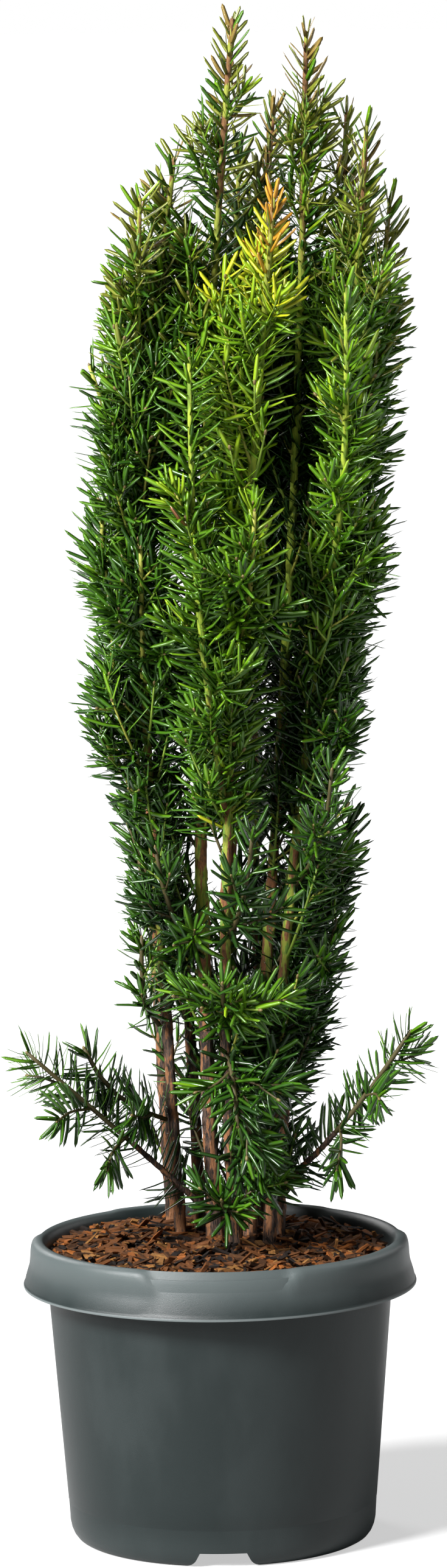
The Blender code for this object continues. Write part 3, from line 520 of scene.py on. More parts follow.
class YewNeedleSettings(bpy.types.PropertyGroup):
    """Sizes and spacing of the needles, and the spacing of the spurs."""

    length: FloatProperty(
        name="Needle length", description="Length of a full-grown needle", default=0.0235,
        min=0.005, max=0.05, unit="LENGTH",
    )
    width: FloatProperty(
        name="Needle width", description="Width of a full-grown needle", default=0.0032, min=0.0005,
        max=0.01, unit="LENGTH", precision=4,
    )
    pitch: FloatProperty(
        name="Needle spacing", description="Distance along a twig from one needle to the next",
        default=0.00140, min=0.0005, max=0.02, unit="LENGTH", precision=5,
    )
    spur_spacing: FloatProperty(
        name="Spur spacing", description="Distance along a stem between its short side twigs",
        default=0.0068, min=0.004, max=0.1, unit="LENGTH", precision=4,
    )


class YewStageSettings(bpy.types.PropertyGroup):
    """Camera, floor and light."""

    lens: FloatProperty(
        name="Lens", description="Focal length of the camera in millimetres", default=142.4,
        min=10, max=400, unit="CAMERA",
    )
    floor_colour: FloatVectorProperty(
        name="Floor", description="Colour of the plain floor", subtype="COLOR",
        default=(0.42, 0.42, 0.42), min=0.0, max=1.0,
    )
    light: FloatProperty(
        name="Light", description="Strength of the studio lights", default=1.0,
        min=0.0, max=10.0, subtype="FACTOR",
    )


# Mesh helpers


def object_from(bm, name):
    """Turn a bmesh into an object, with its faces pointing out."""
    bmesh.ops.recalc_face_normals(bm, faces=bm.faces)
    mesh = bpy.data.meshes.new(name)
    bm.to_mesh(mesh)
    bm.free()
    item = bpy.data.objects.new(name, mesh)
    bpy.context.scene.collection.objects.link(item)
    return item


def finish(item, materials, nodes=(), angle=0):
    """Give a piece its materials and shading, and say what it is part of."""
    item.data.materials.clear()
    for material in materials:
        item.data.materials.append(material)
    item.data.shade_smooth()
    if angle:
        item.data.set_sharp_from_angle(angle=math.radians(angle))
    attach(item, "root")
    if nodes:
        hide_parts(*nodes)
    return item


def grow_face(bm, face, first):
    """Extrude an end face and return the new one; the first stays as the other end."""
    made = bmesh.ops.extrude_face_region(bm, geom=[face])["geom"]
    if not first:
        bmesh.ops.delete(bm, geom=[face], context="FACES_ONLY")
    return next(item for item in made if isinstance(item, bmesh.types.BMFace))


def tube_frames(points):
    """A place and direction for each ring of a tube, without twist."""
    frames = []
    side = Vector((1.0, 0.0, 0.0))
    for index, point in enumerate(points):
        before = points[max(index - 1, 0)]
        after = points[min(index + 1, len(points) - 1)]
        axis = (after - before).normalized()
        side = (side - axis * side.dot(axis)).normalized()
        turned = Matrix((side, axis.cross(side), axis)).transposed().to_4x4()
        frames.append(Matrix.Translation(point) @ turned)
    return frames


def tube(frames, radii, sides):
    """A tapered tube grown from a disc ring by ring."""
    bm = bmesh.new()
    bmesh.ops.create_circle(bm, cap_ends=True, radius=radii[0], segments=sides, matrix=frames[0])
    bm.faces.ensure_lookup_table()
    face = bm.faces[0]
    for index in range(1, len(frames)):
        face = grow_face(bm, face, index == 1)
        scale = Matrix.Scale(radii[index] / radii[index - 1], 4)
        move = frames[index] @ scale @ frames[index - 1].inverted()
        bmesh.ops.transform(bm, matrix=move, verts=face.verts)
    return bm


def template_arrays(bm):
    """Points and triangles of a small shape that is going to be repeated."""
    bmesh.ops.recalc_face_normals(bm, faces=bm.faces)
    bmesh.ops.triangulate(bm, faces=bm.faces)
    bm.verts.index_update()
    points = np.array([v.co for v in bm.verts])
    triangles = np.array([[v.index for v in f.verts] for f in bm.faces])
    normals = np.array([f.normal for f in bm.faces])
    bm.free()
    return points, triangles, normals


def repeated(name, points, triangles, slots=None, flow=None):
    """One object from many copies of a shape; points holds one row of places for each copy."""
    copies, corners = points.shape[:2]
    faces = len(triangles)
    index = (triangles[None] + (np.arange(copies) * corners)[:, None, None]).reshape(-1)
    mesh = bpy.data.meshes.new(name)
    mesh.vertices.add(copies * corners)
    mesh.vertices.foreach_set("co", points.reshape(-1).astype(np.float32))
    mesh.loops.add(index.size)
    mesh.loops.foreach_set("vertex_index", index.astype(np.int32))
    mesh.polygons.add(copies * faces)
    mesh.polygons.foreach_set("loop_start", np.arange(0, index.size, 3, dtype=np.int32))
    if slots is not None:
        mesh.polygons.foreach_set("material_index", np.tile(slots, copies).astype(np.int32))
    if flow is not None:
        layer = mesh.uv_layers.new(name="grain")
        layer.data.foreach_set("uv", flow.reshape(-1, 2)[index].reshape(-1).astype(np.float32))
    mesh.update(calc_edges=True)
    item = bpy.data.objects.new(name, mesh)
    bpy.context.scene.collection.objects.link(item)
    return item


# Material helpers


def plain_material(name, colour, roughness, specular=0.5):
    """A Principled material of one colour."""
    material = bpy.data.materials.new(name)
    material.use_nodes = True
    shader = material.node_tree.nodes["Principled BSDF"]
    set_inputs(shader, {
        "Base Color": (*colour, 1.0), "Roughness": roughness, "Specular IOR Level": specular,
    })
    material.diffuse_color = (*colour, 1.0)
    return material


def set_inputs(node, values):
    """Set some of a node's inputs to constants."""
    for name, value in values.items():
        node.inputs[name].default_value = value


def add(tree, kind, place=(0, 0), **values):
    """A node with some of its settings."""
    node = tree.nodes.new(kind)
    node.location = place
    for key, value in values.items():
        setattr(node, key, value)
    return node


def ramp(tree, factor, stops):
    """A colour ramp over a factor."""
    node = add(tree, "ShaderNodeValToRGB")
    band = node.color_ramp
    band.elements[0].position = stops[0][0]
    band.elements[0].color = (*stops[0][1], 1.0)
    band.elements[1].position = stops[-1][0]
    band.elements[1].color = (*stops[-1][1], 1.0)
    for position, colour in stops[1:-1]:
        band.elements.new(position).color = (*colour, 1.0)
    tree.links.new(factor, node.inputs[0])
    return node.outputs[0]


def mask(tree, factor, low, high, start=0.0, end=1.0):
    """A value from start to end as a factor goes from low to high."""
    node = add(tree, "ShaderNodeMapRange", interpolation_type="SMOOTHSTEP")
    set_inputs(node, {"From Min": low, "From Max": high, "To Min": start, "To Max": end})
    tree.links.new(factor, node.inputs["Value"])
    return node.outputs[0]


def mixed(tree, factor, first, second):
    """A mix of two colours, each an output or three numbers."""
    node = add(tree, "ShaderNodeMix", data_type="RGBA")
    tree.links.new(factor, node.inputs[0])
    for value, socket in ((first, node.inputs[6]), (second, node.inputs[7])):
        if isinstance(value, bpy.types.NodeSocket):
            tree.links.new(value, socket)
        else:
            socket.default_value = (*value, 1.0)
    return node.outputs[2]


def surface_noise():
    """A node group: broad patches and fine grain over a vector, and the two added up."""
    group = bpy.data.node_groups.get("surface_noise")
    if group:
        return group
    group = bpy.data.node_groups.new("surface_noise", "ShaderNodeTree")
    for name, kind in (("Vector", "NodeSocketVector"), ("Patch Scale", "NodeSocketFloat"),
                       ("Grain Scale", "NodeSocketFloat")):
        group.interface.new_socket(name, in_out="INPUT", socket_type=kind)
    for name in ("Patches", "Grain", "Height"):
        group.interface.new_socket(name, in_out="OUTPUT", socket_type="NodeSocketFloat")
    entry = add(group, "NodeGroupInput", (-700, 0))
    leave = add(group, "NodeGroupOutput", (500, 0))
    height = add(group, "ShaderNodeMath", (200, -200), operation="ADD")
    layers = (("Patch Scale", "Patches", 4.0, 0.55), ("Grain Scale", "Grain", 6.0, 0.65))
    for number, (scale, output, detail, roughness) in enumerate(layers):
        layer = add(group, "ShaderNodeTexNoise", (-400, 200 - 400 * number))
        set_inputs(layer, {"Detail": detail, "Roughness": roughness})
        group.links.new(entry.outputs["Vector"], layer.inputs["Vector"])
        group.links.new(entry.outputs[scale], layer.inputs["Scale"])
        group.links.new(mask(group, layer.outputs[0], 0.30, 0.70), leave.inputs[output])
        group.links.new(layer.outputs[0], height.inputs[number])
    group.links.new(height.outputs[0], leave.inputs["Height"])
    return group


def toned(colour, share):
    """A colour made darker or lighter by a share."""
    return tuple(share * part for part in colour)


class Finish:
    """A Principled material being put together from noise over its coordinates."""

    def __init__(self, name, coordinates="Object", stretch=(1.0, 1.0, 1.0)):
        self.material = bpy.data.materials.new(name)
        self.material.use_nodes = True
        self.tree = self.material.node_tree
        self.shader = self.tree.nodes["Principled BSDF"]
        self.place = add(self.tree, "ShaderNodeTexCoord", (-1400, 0)).outputs[coordinates]
        mapping = add(self.tree, "ShaderNodeMapping", (-1200, 0))
        mapping.inputs["Scale"].default_value = stretch
        self.tree.links.new(self.place, mapping.inputs["Vector"])
        self.vector = mapping.outputs[0]

    def noise(self, patch_scale, grain_scale):
        """The shared noise group with its own scales."""
        node = add(self.tree, "ShaderNodeGroup", (-900, 0), node_tree=surface_noise())
        set_inputs(node, {"Patch Scale": patch_scale, "Grain Scale": grain_scale})
        self.tree.links.new(self.vector, node.inputs["Vector"])
        return node.outputs

    def axis(self, letter):
        """One of the coordinates."""
        node = add(self.tree, "ShaderNodeSeparateXYZ", (-900, 300))
        self.tree.links.new(self.place, node.inputs[0])
        return node.outputs[letter]

    def colour(self, output):
        """Set the base colour."""
        self.tree.links.new(output, self.shader.inputs["Base Color"])

    def roughness(self, output):
        """Set the roughness."""
        self.tree.links.new(output, self.shader.inputs["Roughness"])

    def bump(self, height, distance, strength=1.0):
        """Raise the surface by a height."""
        node = add(self.tree, "ShaderNodeBump", (-300, -300))
        set_inputs(node, {"Strength": strength, "Distance": distance})
        self.tree.links.new(height, node.inputs["Height"])
        self.tree.links.new(node.outputs[0], self.shader.inputs["Normal"])


# The source's rule


def smooth_step(value):
    """A smooth ramp from 0 to 1."""
    value = min(max(value, 0.0), 1.0)
    return value * value * (3.0 - 2.0 * value)


def even(low, high, count):
    """Evenly spaced values from low to high, one more than count."""
    return [low + (high - low) * i / count for i in range(count + 1)]


def mulch_height(x, y):
    """Height of the mulch's surface: level at the wall, heaped at the back left."""
    radius = math.hypot(x, y)
    heap = math.exp(-((x - HEAP_X) ** 2 + (y - HEAP_Y) ** 2) / HEAP_SPREAD)
    mound = math.exp(-(x ** 2 + (y - MOUND_Y) ** 2) / MOUND_SPREAD)
    ripple = 0.0009 * math.sin(90 * x + 2.0) * math.cos(75 * y + 0.5)
    fade = smooth_step((MULCH_RADIUS - radius) / 0.02)
    return MULCH_EDGE + (MULCH_MOUND * max(heap, 0.75 * mound) + ripple) * fade


def leader_point(leader, share):
    """A point on a leader's middle line, from its foot at 0 to its tip at 1."""
    foot = Vector((*leader.foot, STEM_FOOT))
    bow = Vector((*leader.bow, 0.0)) * math.sin(math.pi * share)
    sway = Vector((*leader.sway, 0.0)) * math.sin(2 * math.pi * share)
    return foot.lerp(Vector(leader.tip), share) + bow + sway


def leader_share(leader, height):
    """Where on a leader's middle line a height lies."""
    return (height - STEM_FOOT) / (leader.tip[2] - STEM_FOOT)


def stem_axis(leader, height):
    """The point of a leader's middle line at a height."""
    return leader_point(leader, leader_share(leader, height))


def stem_radius(leader, height):
    """A stem tapers evenly and flares at its foot."""
    share = (height - STEM_FOOT) / (leader.bare_top - STEM_FOOT)
    taper = leader.radius + (STEM_TOP_RADIUS - leader.radius) * share
    return taper + leader.flare * math.exp(-(height - STEM_FOOT) / FLARE_HEIGHT)


def leader_named(name):
    """The leader of a given name."""
    return next(leader for leader in LEADERS if leader.name == name)


def bough_start(bough):
    """Where a low bough's middle line begins, beside its stem."""
    leader = leader_named(bough.parent)
    axis = stem_axis(leader, bough.height)
    outward = (Vector(bough.knee) - axis).normalized()
    return axis + outward * (stem_radius(leader, bough.height) + bough.radius)


def bough_line(bough, shares):
    """Points on a low bough's middle line."""
    start = bough_start(bough)
    knee = Vector(bough.knee)
    tip = Vector(bough.tip)
    return [start.lerp(knee, share).lerp(knee.lerp(tip, share), share) for share in shares]


def bough_radius(bough, share):
    """A low bough tapers evenly."""
    return bough.radius * (1.0 - BOUGH_TAPER * share)


def shoot_path(start, outward, reach, rise, count=5):
    """Middle line of a side shoot: it leaves level and turns up, or down, as it goes."""
    points = []
    for index in range(count):
        share = index / (count - 1)
        along = reach * (1.45 * share - 0.45 * share * share)
        up = rise * (0.55 * share + 0.45 * share * share)
        points.append(start + outward * along + Vector((0.0, 0.0, up)))
    return points


def path_point(points, share):
    """A point and the direction at a share of the way along a line of points."""
    place = min(max(share, 0.0), 1.0) * (len(points) - 1)
    index = min(int(place), len(points) - 2)
    point = points[index].lerp(points[index + 1], place - index)
    return point, (points[index + 1] - points[index]).normalized()


def path_length(points):
    """Length along a line of points."""
    return sum((b - a).length for a, b in zip(points, points[1:]))


def across(direction):
    """A unit vector square to a direction, as level as it can be."""
    level = direction.cross(Vector((0.0, 0.0, 1.0)))
    if level.length < 0.2:
        level = direction.cross(Vector((0.0, 1.0, 0.0)))
    return level.normalized()


def turned_side(direction, turn):
    """A unit vector square to a direction, turned round it."""
    return Matrix.Rotation(turn, 3, direction) @ across(direction)


def flat_side(direction, flip, droop):
    """A nearly level unit vector on one side of a direction or the other."""
    return Matrix.Rotation(flip * droop, 3, direction) @ (across(direction) * flip)


def leaning(direction, side, tilt):
    """A direction tilted to one side."""
    return direction * math.cos(tilt) + side * math.sin(tilt)


def above_pot(point, margin):
    """Whether a ball at a point is clear of the mulch and of the pot's rim."""
    radius = math.hypot(point[0], point[1])
    if radius < RIM_INSIDE:
        return point[2] > mulch_height(point[0], point[1]) + margin + MULCH_ROOM
    over = point[2] > RIM_HEIGHT + RIM_ROOM + margin
    return over or radius > SKIRT_RADIUS + SKIRT_ROOM + margin


class Space:
    """Middle lines already taken: by limbs, and by the twigs of each mass."""

    def __init__(self):
        self.count = 0
        self.starts = np.zeros((MOST_LINES, 3))
        self.spans = np.zeros((MOST_LINES, 3))
        self.radii = np.zeros(MOST_LINES)
        self.owners = np.zeros(MOST_LINES, dtype=int)
        self.names = {"": 0}

    def add(self, points, radii, mass):
        """Take the room along a line; a limb's lines belong to no mass."""
        owner = self.names.setdefault(mass, len(self.names))
        for a, b, radius in zip(points, points[1:], radii):
            self.starts[self.count] = a
            self.spans[self.count] = b - a
            self.radii[self.count] = radius
            self.owners[self.count] = owner
            self.count += 1

    def gaps(self, point):
        """Distance from a point to the surface of every line."""
        starts = self.starts[:self.count]
        spans = self.spans[:self.count]
        share = (((np.array(point) - starts) * spans).sum(1) / (spans * spans).sum(1)).clip(0, 1)
        far = np.linalg.norm(starts + spans * share[:, None] - np.array(point), axis=1)
        return far - self.radii[:self.count]

    def room(self, point, mass, margin):
        """Whether a ball at a point is clear of the limbs, the pot and all other masses."""
        others = self.owners[:self.count] != self.names.get(mass, -1)
        return above_pot(point, margin) and not (self.gaps(point)[others] < margin).any()

    def open(self, point, limb_room, twig_room):
        """Whether a point is clear of the pot, of the limbs and of every twig."""
        gaps = self.gaps(point)
        limbs = self.owners[:self.count] == 0
        if (gaps[limbs] < limb_room).any() or (gaps[~limbs] < twig_room).any():
            return False
        return above_pot(point, 0.002)


def limb_lines():
    """Middle line and radii of every stem and low bough."""
    limbs = []
    for leader in LEADERS:
        rise = leader.bare_top - STEM_FOOT - EVEN_RINGS_FROM
        heights = [STEM_FOOT + height for height in FOOT_RINGS]
        heights += [
            STEM_FOOT + EVEN_RINGS_FROM + rise * i / EVEN_RINGS for i in range(EVEN_RINGS + 1)
        ]
        points = [stem_axis(leader, z) for z in heights]
        limbs.append((points, [stem_radius(leader, z) for z in heights]))
    for bough in BOUGHS:
        shares = even(0.0, bough.end, 5)
        limbs.append((bough_line(bough, shares), [bough_radius(bough, share) for share in shares]))
    return limbs


def turned_aside(shoot, space):
    """Middle line of a side shoot, turned aside as little as clears what is there already."""
    leader = leader_named(shoot.parent)
    axis = stem_axis(leader, shoot.height)
    for turn in TURN_ASIDE:
        azimuth = math.radians(shoot.azimuth + turn)
        outward = Vector((math.cos(azimuth), math.sin(azimuth), 0.0))
        start = axis + outward * (stem_radius(leader, shoot.height) + TWIG_RADIUS)
        points = shoot_path(start, outward, shoot.reach, shoot.rise)
        tests = [path_point(points, 0.3 + 0.1 * i)[0] for i in range(8)]
        if all(space.room(p, shoot.name, TWIG_RADIUS + TWIG_ROOM) for p in tests):
            return points
    raise RuntimeError("no room for " + shoot.name)


def main_stems(space):
    """The main stem of each mass: leaders, forks and boughs take their room before side shoots."""
    rows = []
    for leader in LEADERS:
        low = leader_share(leader, leader.bare_top + GAP)
        high = leader_share(leader, leader.tip[2] - TIP_NEEDLE)
        points = [leader_point(leader, share) for share in even(low, high, 5)]
        rows.append(Mass("top_" + leader.name, points, True))
    for fork in FORKS:
        leader = leader_named(fork.parent)
        axis = stem_axis(leader, fork.height)
        tip = Vector(fork.tip) - Vector((0.0, 0.0, TIP_NEEDLE))
        flat = Vector((tip.x - axis.x, tip.y - axis.y, 0.0)).normalized()
        start = axis + flat * (stem_radius(leader, fork.height) + TWIG_RADIUS)
        bow = Vector((*fork.bow, 0.0))
        points = [start.lerp(tip, i / 6) + bow * math.sin(math.pi * i / 6) for i in range(7)]
        rows.append(Mass("top_" + fork.name, points, True))
    for bough in BOUGHS:
        points = bough_line(bough, even(bough.end + BOUGH_GAP_SHARE, 1.0, 4))
        rows.append(Mass(bough.name, points, False))
    for row in rows:
        space.add(row.points, [TWIG_RADIUS] * len(row.points), row.name)
    for shoot in SHOOTS:
        points = turned_aside(shoot, space)
        rows.append(Mass(shoot.name, points, False))
        space.add(points, [TWIG_RADIUS] * len(points), shoot.name)
    return rows


def side_twigs(mass, rng):
    """Middle lines of the side twigs of one main stem."""
    for share, tip in SET_TWIGS.get(mass.name, ()):
        point, direction = path_point(mass.points, share)
        tip = Vector(tip)
        yield [point, point.lerp(tip, 0.5) + direction * 0.004, tip]
    if mass.name in SET_TWIGS:
        return
    count = max(1, round(path_length(mass.points) / TWIG_SPACING))
    turn = rng.uniform(0, 2 * math.pi)
    for index in range(count):
        share = 0.14 + 0.62 * index / count
        point, direction = path_point(mass.points, share)
        if mass.upright:
            side = turned_side(direction, turn + index * GOLDEN_ANGLE)
        else:
            side = flat_side(direction, 1.0 if index % 2 else -1.0, 0.35)
        reach = rng.uniform(0.034, 0.046) * (1.0 - (0.65 if mass.upright else 0.4) * share)
        tilt = (UPRIGHT_TWIG_ANGLE if mass.upright else TWIG_ANGLE) * rng.uniform(0.85, 1.25)
        heading = leaning(direction, side, tilt)
        bend = direction * 0.25 + Vector((0.0, 0.0, 0.15))
        middle = point + heading * reach * 0.5
        yield [point, middle, middle + (heading + bend).normalized() * reach * 0.5]


def grow_skeletons(space):
    """The twigs of every mass, each side twig kept only where it has room."""
    sprigs = []
    for index, mass in enumerate(main_stems(space)):
        rng = random.Random(SEEDS["mass"] + index)
        foot = 0.0025 if mass.upright else TWIG_RADIUS * 0.9
        points = list(mass.points)
        if mass.upright:
            points[-1] = points[-1] + (points[-1] - points[-2]).normalized() * 0.006
        sprigs.append(Sprig(mass.name, points, foot, 0.0013, mass.upright, 0))
        for points in side_twigs(mass, rng):
            tests = [points[1], points[1].lerp(points[2], 0.5), points[2]]
            if all(space.room(p, mass.name, TWIG_RADIUS + TWIG_ROOM) for p in tests):
                space.add(points, [TWIG_RADIUS] * 2, mass.name)
                sprigs.append(Sprig(mass.name, points, 0.0011, 0.0007, mass.upright, 1))
    return [
        sprig if sprig.mass in OPEN_MASSES else sprig._replace(points=drawn_in(sprig.points))
        for sprig in sprigs
    ]


def drawn_in(points):
    """A twig leaning in where it would leave the crown's sides as seen from the front."""
    inside = []
    for point in points:
        sides = np.mean([crown_sides(point.z + step) for step in DRAWN_OVER], 0)
        left, right = sides[0] + DRAWN_IN, sides[1] - DRAWN_IN
        x = point.x
        if x < left + DRAWN_FROM:
            x = left + DRAWN_FROM * math.exp((x - left) / DRAWN_FROM - 1.0)
        if x > right - DRAWN_FROM:
            x = right - DRAWN_FROM * math.exp((right - x) / DRAWN_FROM - 1.0)
        inside.append(Vector((x, point.y, point.z)))
    return inside


# The rule carried on


def curved_line(start, heading, up, reach, lift):
    """Middle line of a fine twig: it leaves along its heading and bends towards up."""
    points = []
    for index in range(CURVE_STEPS + 1):
        share = index / CURVE_STEPS
        points.append(start + heading * (reach * share) + up * (reach * lift * share * share))
    return points


def far_from(lines, points):
    """Distance of each point from the nearest of some lines."""
    far = np.full(len(points), 1.0)
    for start, span in lines:
        share = ((points - start) @ span / (span @ span)).clip(0, 1)
        far = np.minimum(far, np.linalg.norm(start + share[:, None] * span - points, axis=1))
    return far


class Reach:
    """The space that the masses hold, from their main stems and side twigs."""

    def __init__(self, sprigs):
        self.lines = Space()
        self.names = []
        for sprig in sprigs:
            for a, b in zip(sprig.points, sprig.points[1:]):
                self.lines.add([a, b], [0.0], sprig.mass)
                self.names.append(sprig.mass)

    def nearest(self, point):
        """Distance from a point to the nearest mass's line, and that mass."""
        gaps = self.lines.gaps(point)
        index = int(gaps.argmin())
        return gaps[index], self.names[index]


def needle_limit(heights):
    """How far from the masses' lines a needle may end, at each height."""
    low = ((heights - FULL_FROM) / FULL_OVER).clip(0, 1)
    high = ((0.90 - heights) / 0.10).clip(0, 1)
    return NEEDLE_REACH + NEEDLE_REACH_MORE * np.minimum(low, high)


def reach_limit(point):
    """How far from the masses' lines a finer twig may end: less where sky shows between them."""
    low = smooth_step((point.z - FULL_FROM) / FULL_OVER)
    high = 1.0 - smooth_step((point.z - 0.80) / 0.08)
    depth = math.hypot(point.x - CENTRE_X, point.y - CENTRE_Y)
    inside = smooth_step((INSIDE_RADIUS - depth) / 0.02) * high
    return TWIG_REACH + TWIG_REACH_MORE * max(min(low, high), inside)


def try_sprig(points, radius, upright, order, space, reach, room):
    """A finer twig, if its outer half has room and its tip stays within the masses' reach."""
    tests = [path_point(points, share)[0] for share in (0.5, 0.75, 1.0)]
    if not all(space.open(p, LIMB_ROOM, room) for p in tests):
        return None
    middle, tip = points[CURVE_STEPS // 2], points[-1]
    far, mass = reach.nearest(tip)
    low = order == 2 and tip.z < LOW_SPURS_BELOW and path_length(points) < LOW_SPUR_LENGTH
    if far > reach_limit(tip) and not low:
        return None
    if any(shows_stems(*p) for p in (middle, tip)) or not within_sides(tip.x, tip.z, -TIP_INSET):
        return None
    space.add(points, [radius] * CURVE_STEPS, mass)
    return Sprig(mass, points, radius, TIP_RADIUS, upright, order)


def spur_spacing(leader, height, spacing):
    """Spurs stand close in the crown and far apart low on the bare stems at the left."""
    bare = 1.6 if leader.name in BARE_STEMS else 0.2
    return spacing * (1.0 + bare * (1.0 - smooth_step((height - 0.24) / 0.14)))


def crown_sides(z):
    """The crown's left and right sides at a height as seen from the front."""
    return [np.interp(z, *zip(*side)) for side in (CROWN_LEFT, CROWN_RIGHT)]


def within_sides(x, z, more):
    """Whether places lie between the crown's sides."""
    left, right = crown_sides(z)
    return (x > left - more) & (x < right + more)


def shows_stems(x, y, z):
    """Whether places lie in the openings at the front through which the stems are seen."""
    found = False
    for left, right, back, low, high in STEM_VIEWS:
        found = found | ((x > left) & (x < right) & (y < back) & (z > low) & (z < high))
    return found


def spurs(space, reach, spacing):
    """Short leafy twigs straight off the stems, turned by the golden angle."""
    found = []
    for number, leader in enumerate(LEADERS):
        rng = random.Random(SEEDS["spur"] + number)
        lowest = BARE_SPURS_FROM if leader.name in BARE_STEMS else SPURS_FROM
        height = lowest + 0.02 * rng.random()
        turn = rng.uniform(0, 2 * math.pi)
        while height < leader.bare_top:
            turn += GOLDEN_ANGLE
            share = leader_share(leader, height)
            axis = leader_point(leader, share)
            direction = (leader_point(leader, share + 0.01) - axis).normalized()
            side = turned_side(direction, turn)
            heading = leaning(direction, side, math.radians(rng.uniform(*SPUR_TILT)))
            start = axis + side * stem_radius(leader, height) * 0.6
            for length in [rng.uniform(*lengths) for lengths in SPUR_LENGTHS] + [SHORT_SPUR]:
                points = curved_line(start, heading, Vector((0.0, 0.0, 1.0)), length, 0.22)
                sprig = try_sprig(points, SPUR_RADIUS, False, 2, space, reach, SPUR_ROOM)
                if sprig:
                    found.append(sprig)
                    break
            height += spur_spacing(leader, height, spacing) * rng.uniform(0.8, 1.2)
    return found


def finer_twigs(parents, space, reach, spacing, lengths, order, seed):
    """Side twigs on twigs, in turn on either side, or all round an upright leader."""
    found = []
    for number, parent in enumerate(parents):
        if parent.mass in OPEN_MASSES:
            continue
        rng = random.Random(seed + number)
        long = path_length(parent.points)
        turn = rng.uniform(0, 2 * math.pi)
        place = long * 0.22
        while place < long * 0.84:
            point, direction = path_point(parent.points, place / long)
            turn += GOLDEN_ANGLE if parent.upright else math.pi
            if parent.upright:
                side = turned_side(direction, turn)
            else:
                side = flat_side(direction, math.copysign(1.0, math.cos(turn)), 0.3)
            tilt = math.radians(rng.uniform(*(UPRIGHT_TILT if parent.upright else SIDE_TILT)))
            heading = leaning(direction, side, tilt)
            length = rng.uniform(*lengths) * (1.0 - 0.45 * place / long)
            points = curved_line(point, heading, direction, length, 0.16)
            upright = parent.upright and order < 3
            sprig = try_sprig(points, SIDE_RADIUS, upright, order, space, reach, SIDE_ROOM)
            if sprig and (point.z < SPIRES_ABOVE or number % 3 == 0):
                found.append(sprig)
            place += spacing * rng.uniform(0.8, 1.2)
    return found


def leafy_stems():
    """The upper part of each stem, which carries needles itself."""
    rows = []
    for leader in LEADERS:
        low = min(leader.tip[2] - LEAFY_LENGTH, FULL_FROM)
        points = [stem_axis(leader, z) for z in even(low, leader.bare_top, 14)]
        radii = stem_radius(leader, low), stem_radius(leader, leader.bare_top)
        rows.append(Sprig("top_" + leader.name, points, *radii, True, -1))
    for bough in BOUGHS:
        points = bough_line(bough, even(0.10, bough.end, 6))
        rows.append(Sprig(bough.name, points, bough.radius, bough.radius * 0.8, False, -1))
    return rows


def grow_plant():
    """Every twig of the plant, grown once and kept for the operators."""
    if grown:
        return grown
    settings = bpy.context.scene.yew_needles
    space = Space()
    grown["limbs"] = limb_lines()
    for points, radii in grown["limbs"]:
        space.add(points, radii, "")
    sprigs = grow_skeletons(space)
    reach = Reach(sprigs)
    lines = reach.lines
    grown["lines"] = list(zip(lines.starts[:lines.count], lines.spans[:lines.count]))
    first = finer_twigs(sprigs, space, reach, SIDE_SPACING, SIDE_LENGTHS, 2, SEEDS["side"])
    off_stems = spurs(space, reach, settings.spur_spacing)
    second = finer_twigs(
        off_stems, space, reach, SPUR_SIDE_SPACING, SPUR_SIDE_LENGTHS, 3, SEEDS["spur_side"],
    )
    grown["sprigs"] = sprigs + first + off_stems + second
    grown["leafy"] = grown["sprigs"] + leafy_stems()
    return grown


# Needles


def needle_template():
    """A thin pointed blade with a raised midrib above and a flat side below."""
    bm = bmesh.new()
    turn = Matrix.Rotation(math.radians(90), 4, "Y") @ Matrix.Rotation(math.radians(90), 4, "Z")
    bmesh.ops.create_circle(bm, cap_ends=True, radius=0.5, segments=3, matrix=turn)
    low = min(v.co.z for v in bm.verts)
    for vertex in bm.verts:
        vertex.co.z -= low
        vertex.co.y = math.copysign(0.5, vertex.co.y) if abs(vertex.co.y) > 0.1 else 0.0
    tall = max(v.co.z for v in bm.verts)
    for vertex in bm.verts:
        vertex.co.z /= tall
        vertex.co.y *= BLADE[0][1]
    bm.faces.ensure_lookup_table()
    face = bm.faces[0]
    for index in range(1, len(BLADE)):
        face = grow_face(bm, face, index == 1)
        share = BLADE[index][1] / BLADE[index - 1][1]
        for vertex in face.verts:
            vertex.co.x = BLADE[index][0]
            vertex.co.y *= share
    bmesh.ops.poke(bm, faces=[face])["verts"][0].co = BLADE_TIP
    points, triangles, normals = template_arrays(bm)
    return points, triangles, (normals[:, 2] < 0.05).astype(int)


def unit(rows):
    """Rows of vectors made one long."""
    return rows / np.maximum(np.linalg.norm(rows, axis=1, keepdims=True), 1e-9)


def line_samples(points, shares):
    """Places and directions at shares of the way along a line."""
    knots = np.array([tuple(p) for p in points])
    base = np.linspace(0.0, 1.0, len(knots))
    places = np.stack([np.interp(shares, base, knots[:, k]) for k in range(3)], 1)
    slopes = np.gradient(knots, axis=0)
    headings = np.stack([np.interp(shares, base, slopes[:, k]) for k in range(3)], 1)
    return places, unit(headings)


def ramp_down(values, low, high):
    """1 below low, 0 above high, and a smooth ramp between."""
    t = ((values - low) / (high - low)).clip(0.0, 1.0)
    return 1.0 - t * t * (3.0 - 2.0 * t)


def sprig_radius(sprig, share):
    """Radius of a twig: a main one keeps its thickness until near its tip."""
    taper = share ** (3 if sprig.order == 0 else 1)
    return sprig.foot_radius + (sprig.tip_radius - sprig.foot_radius) * taper


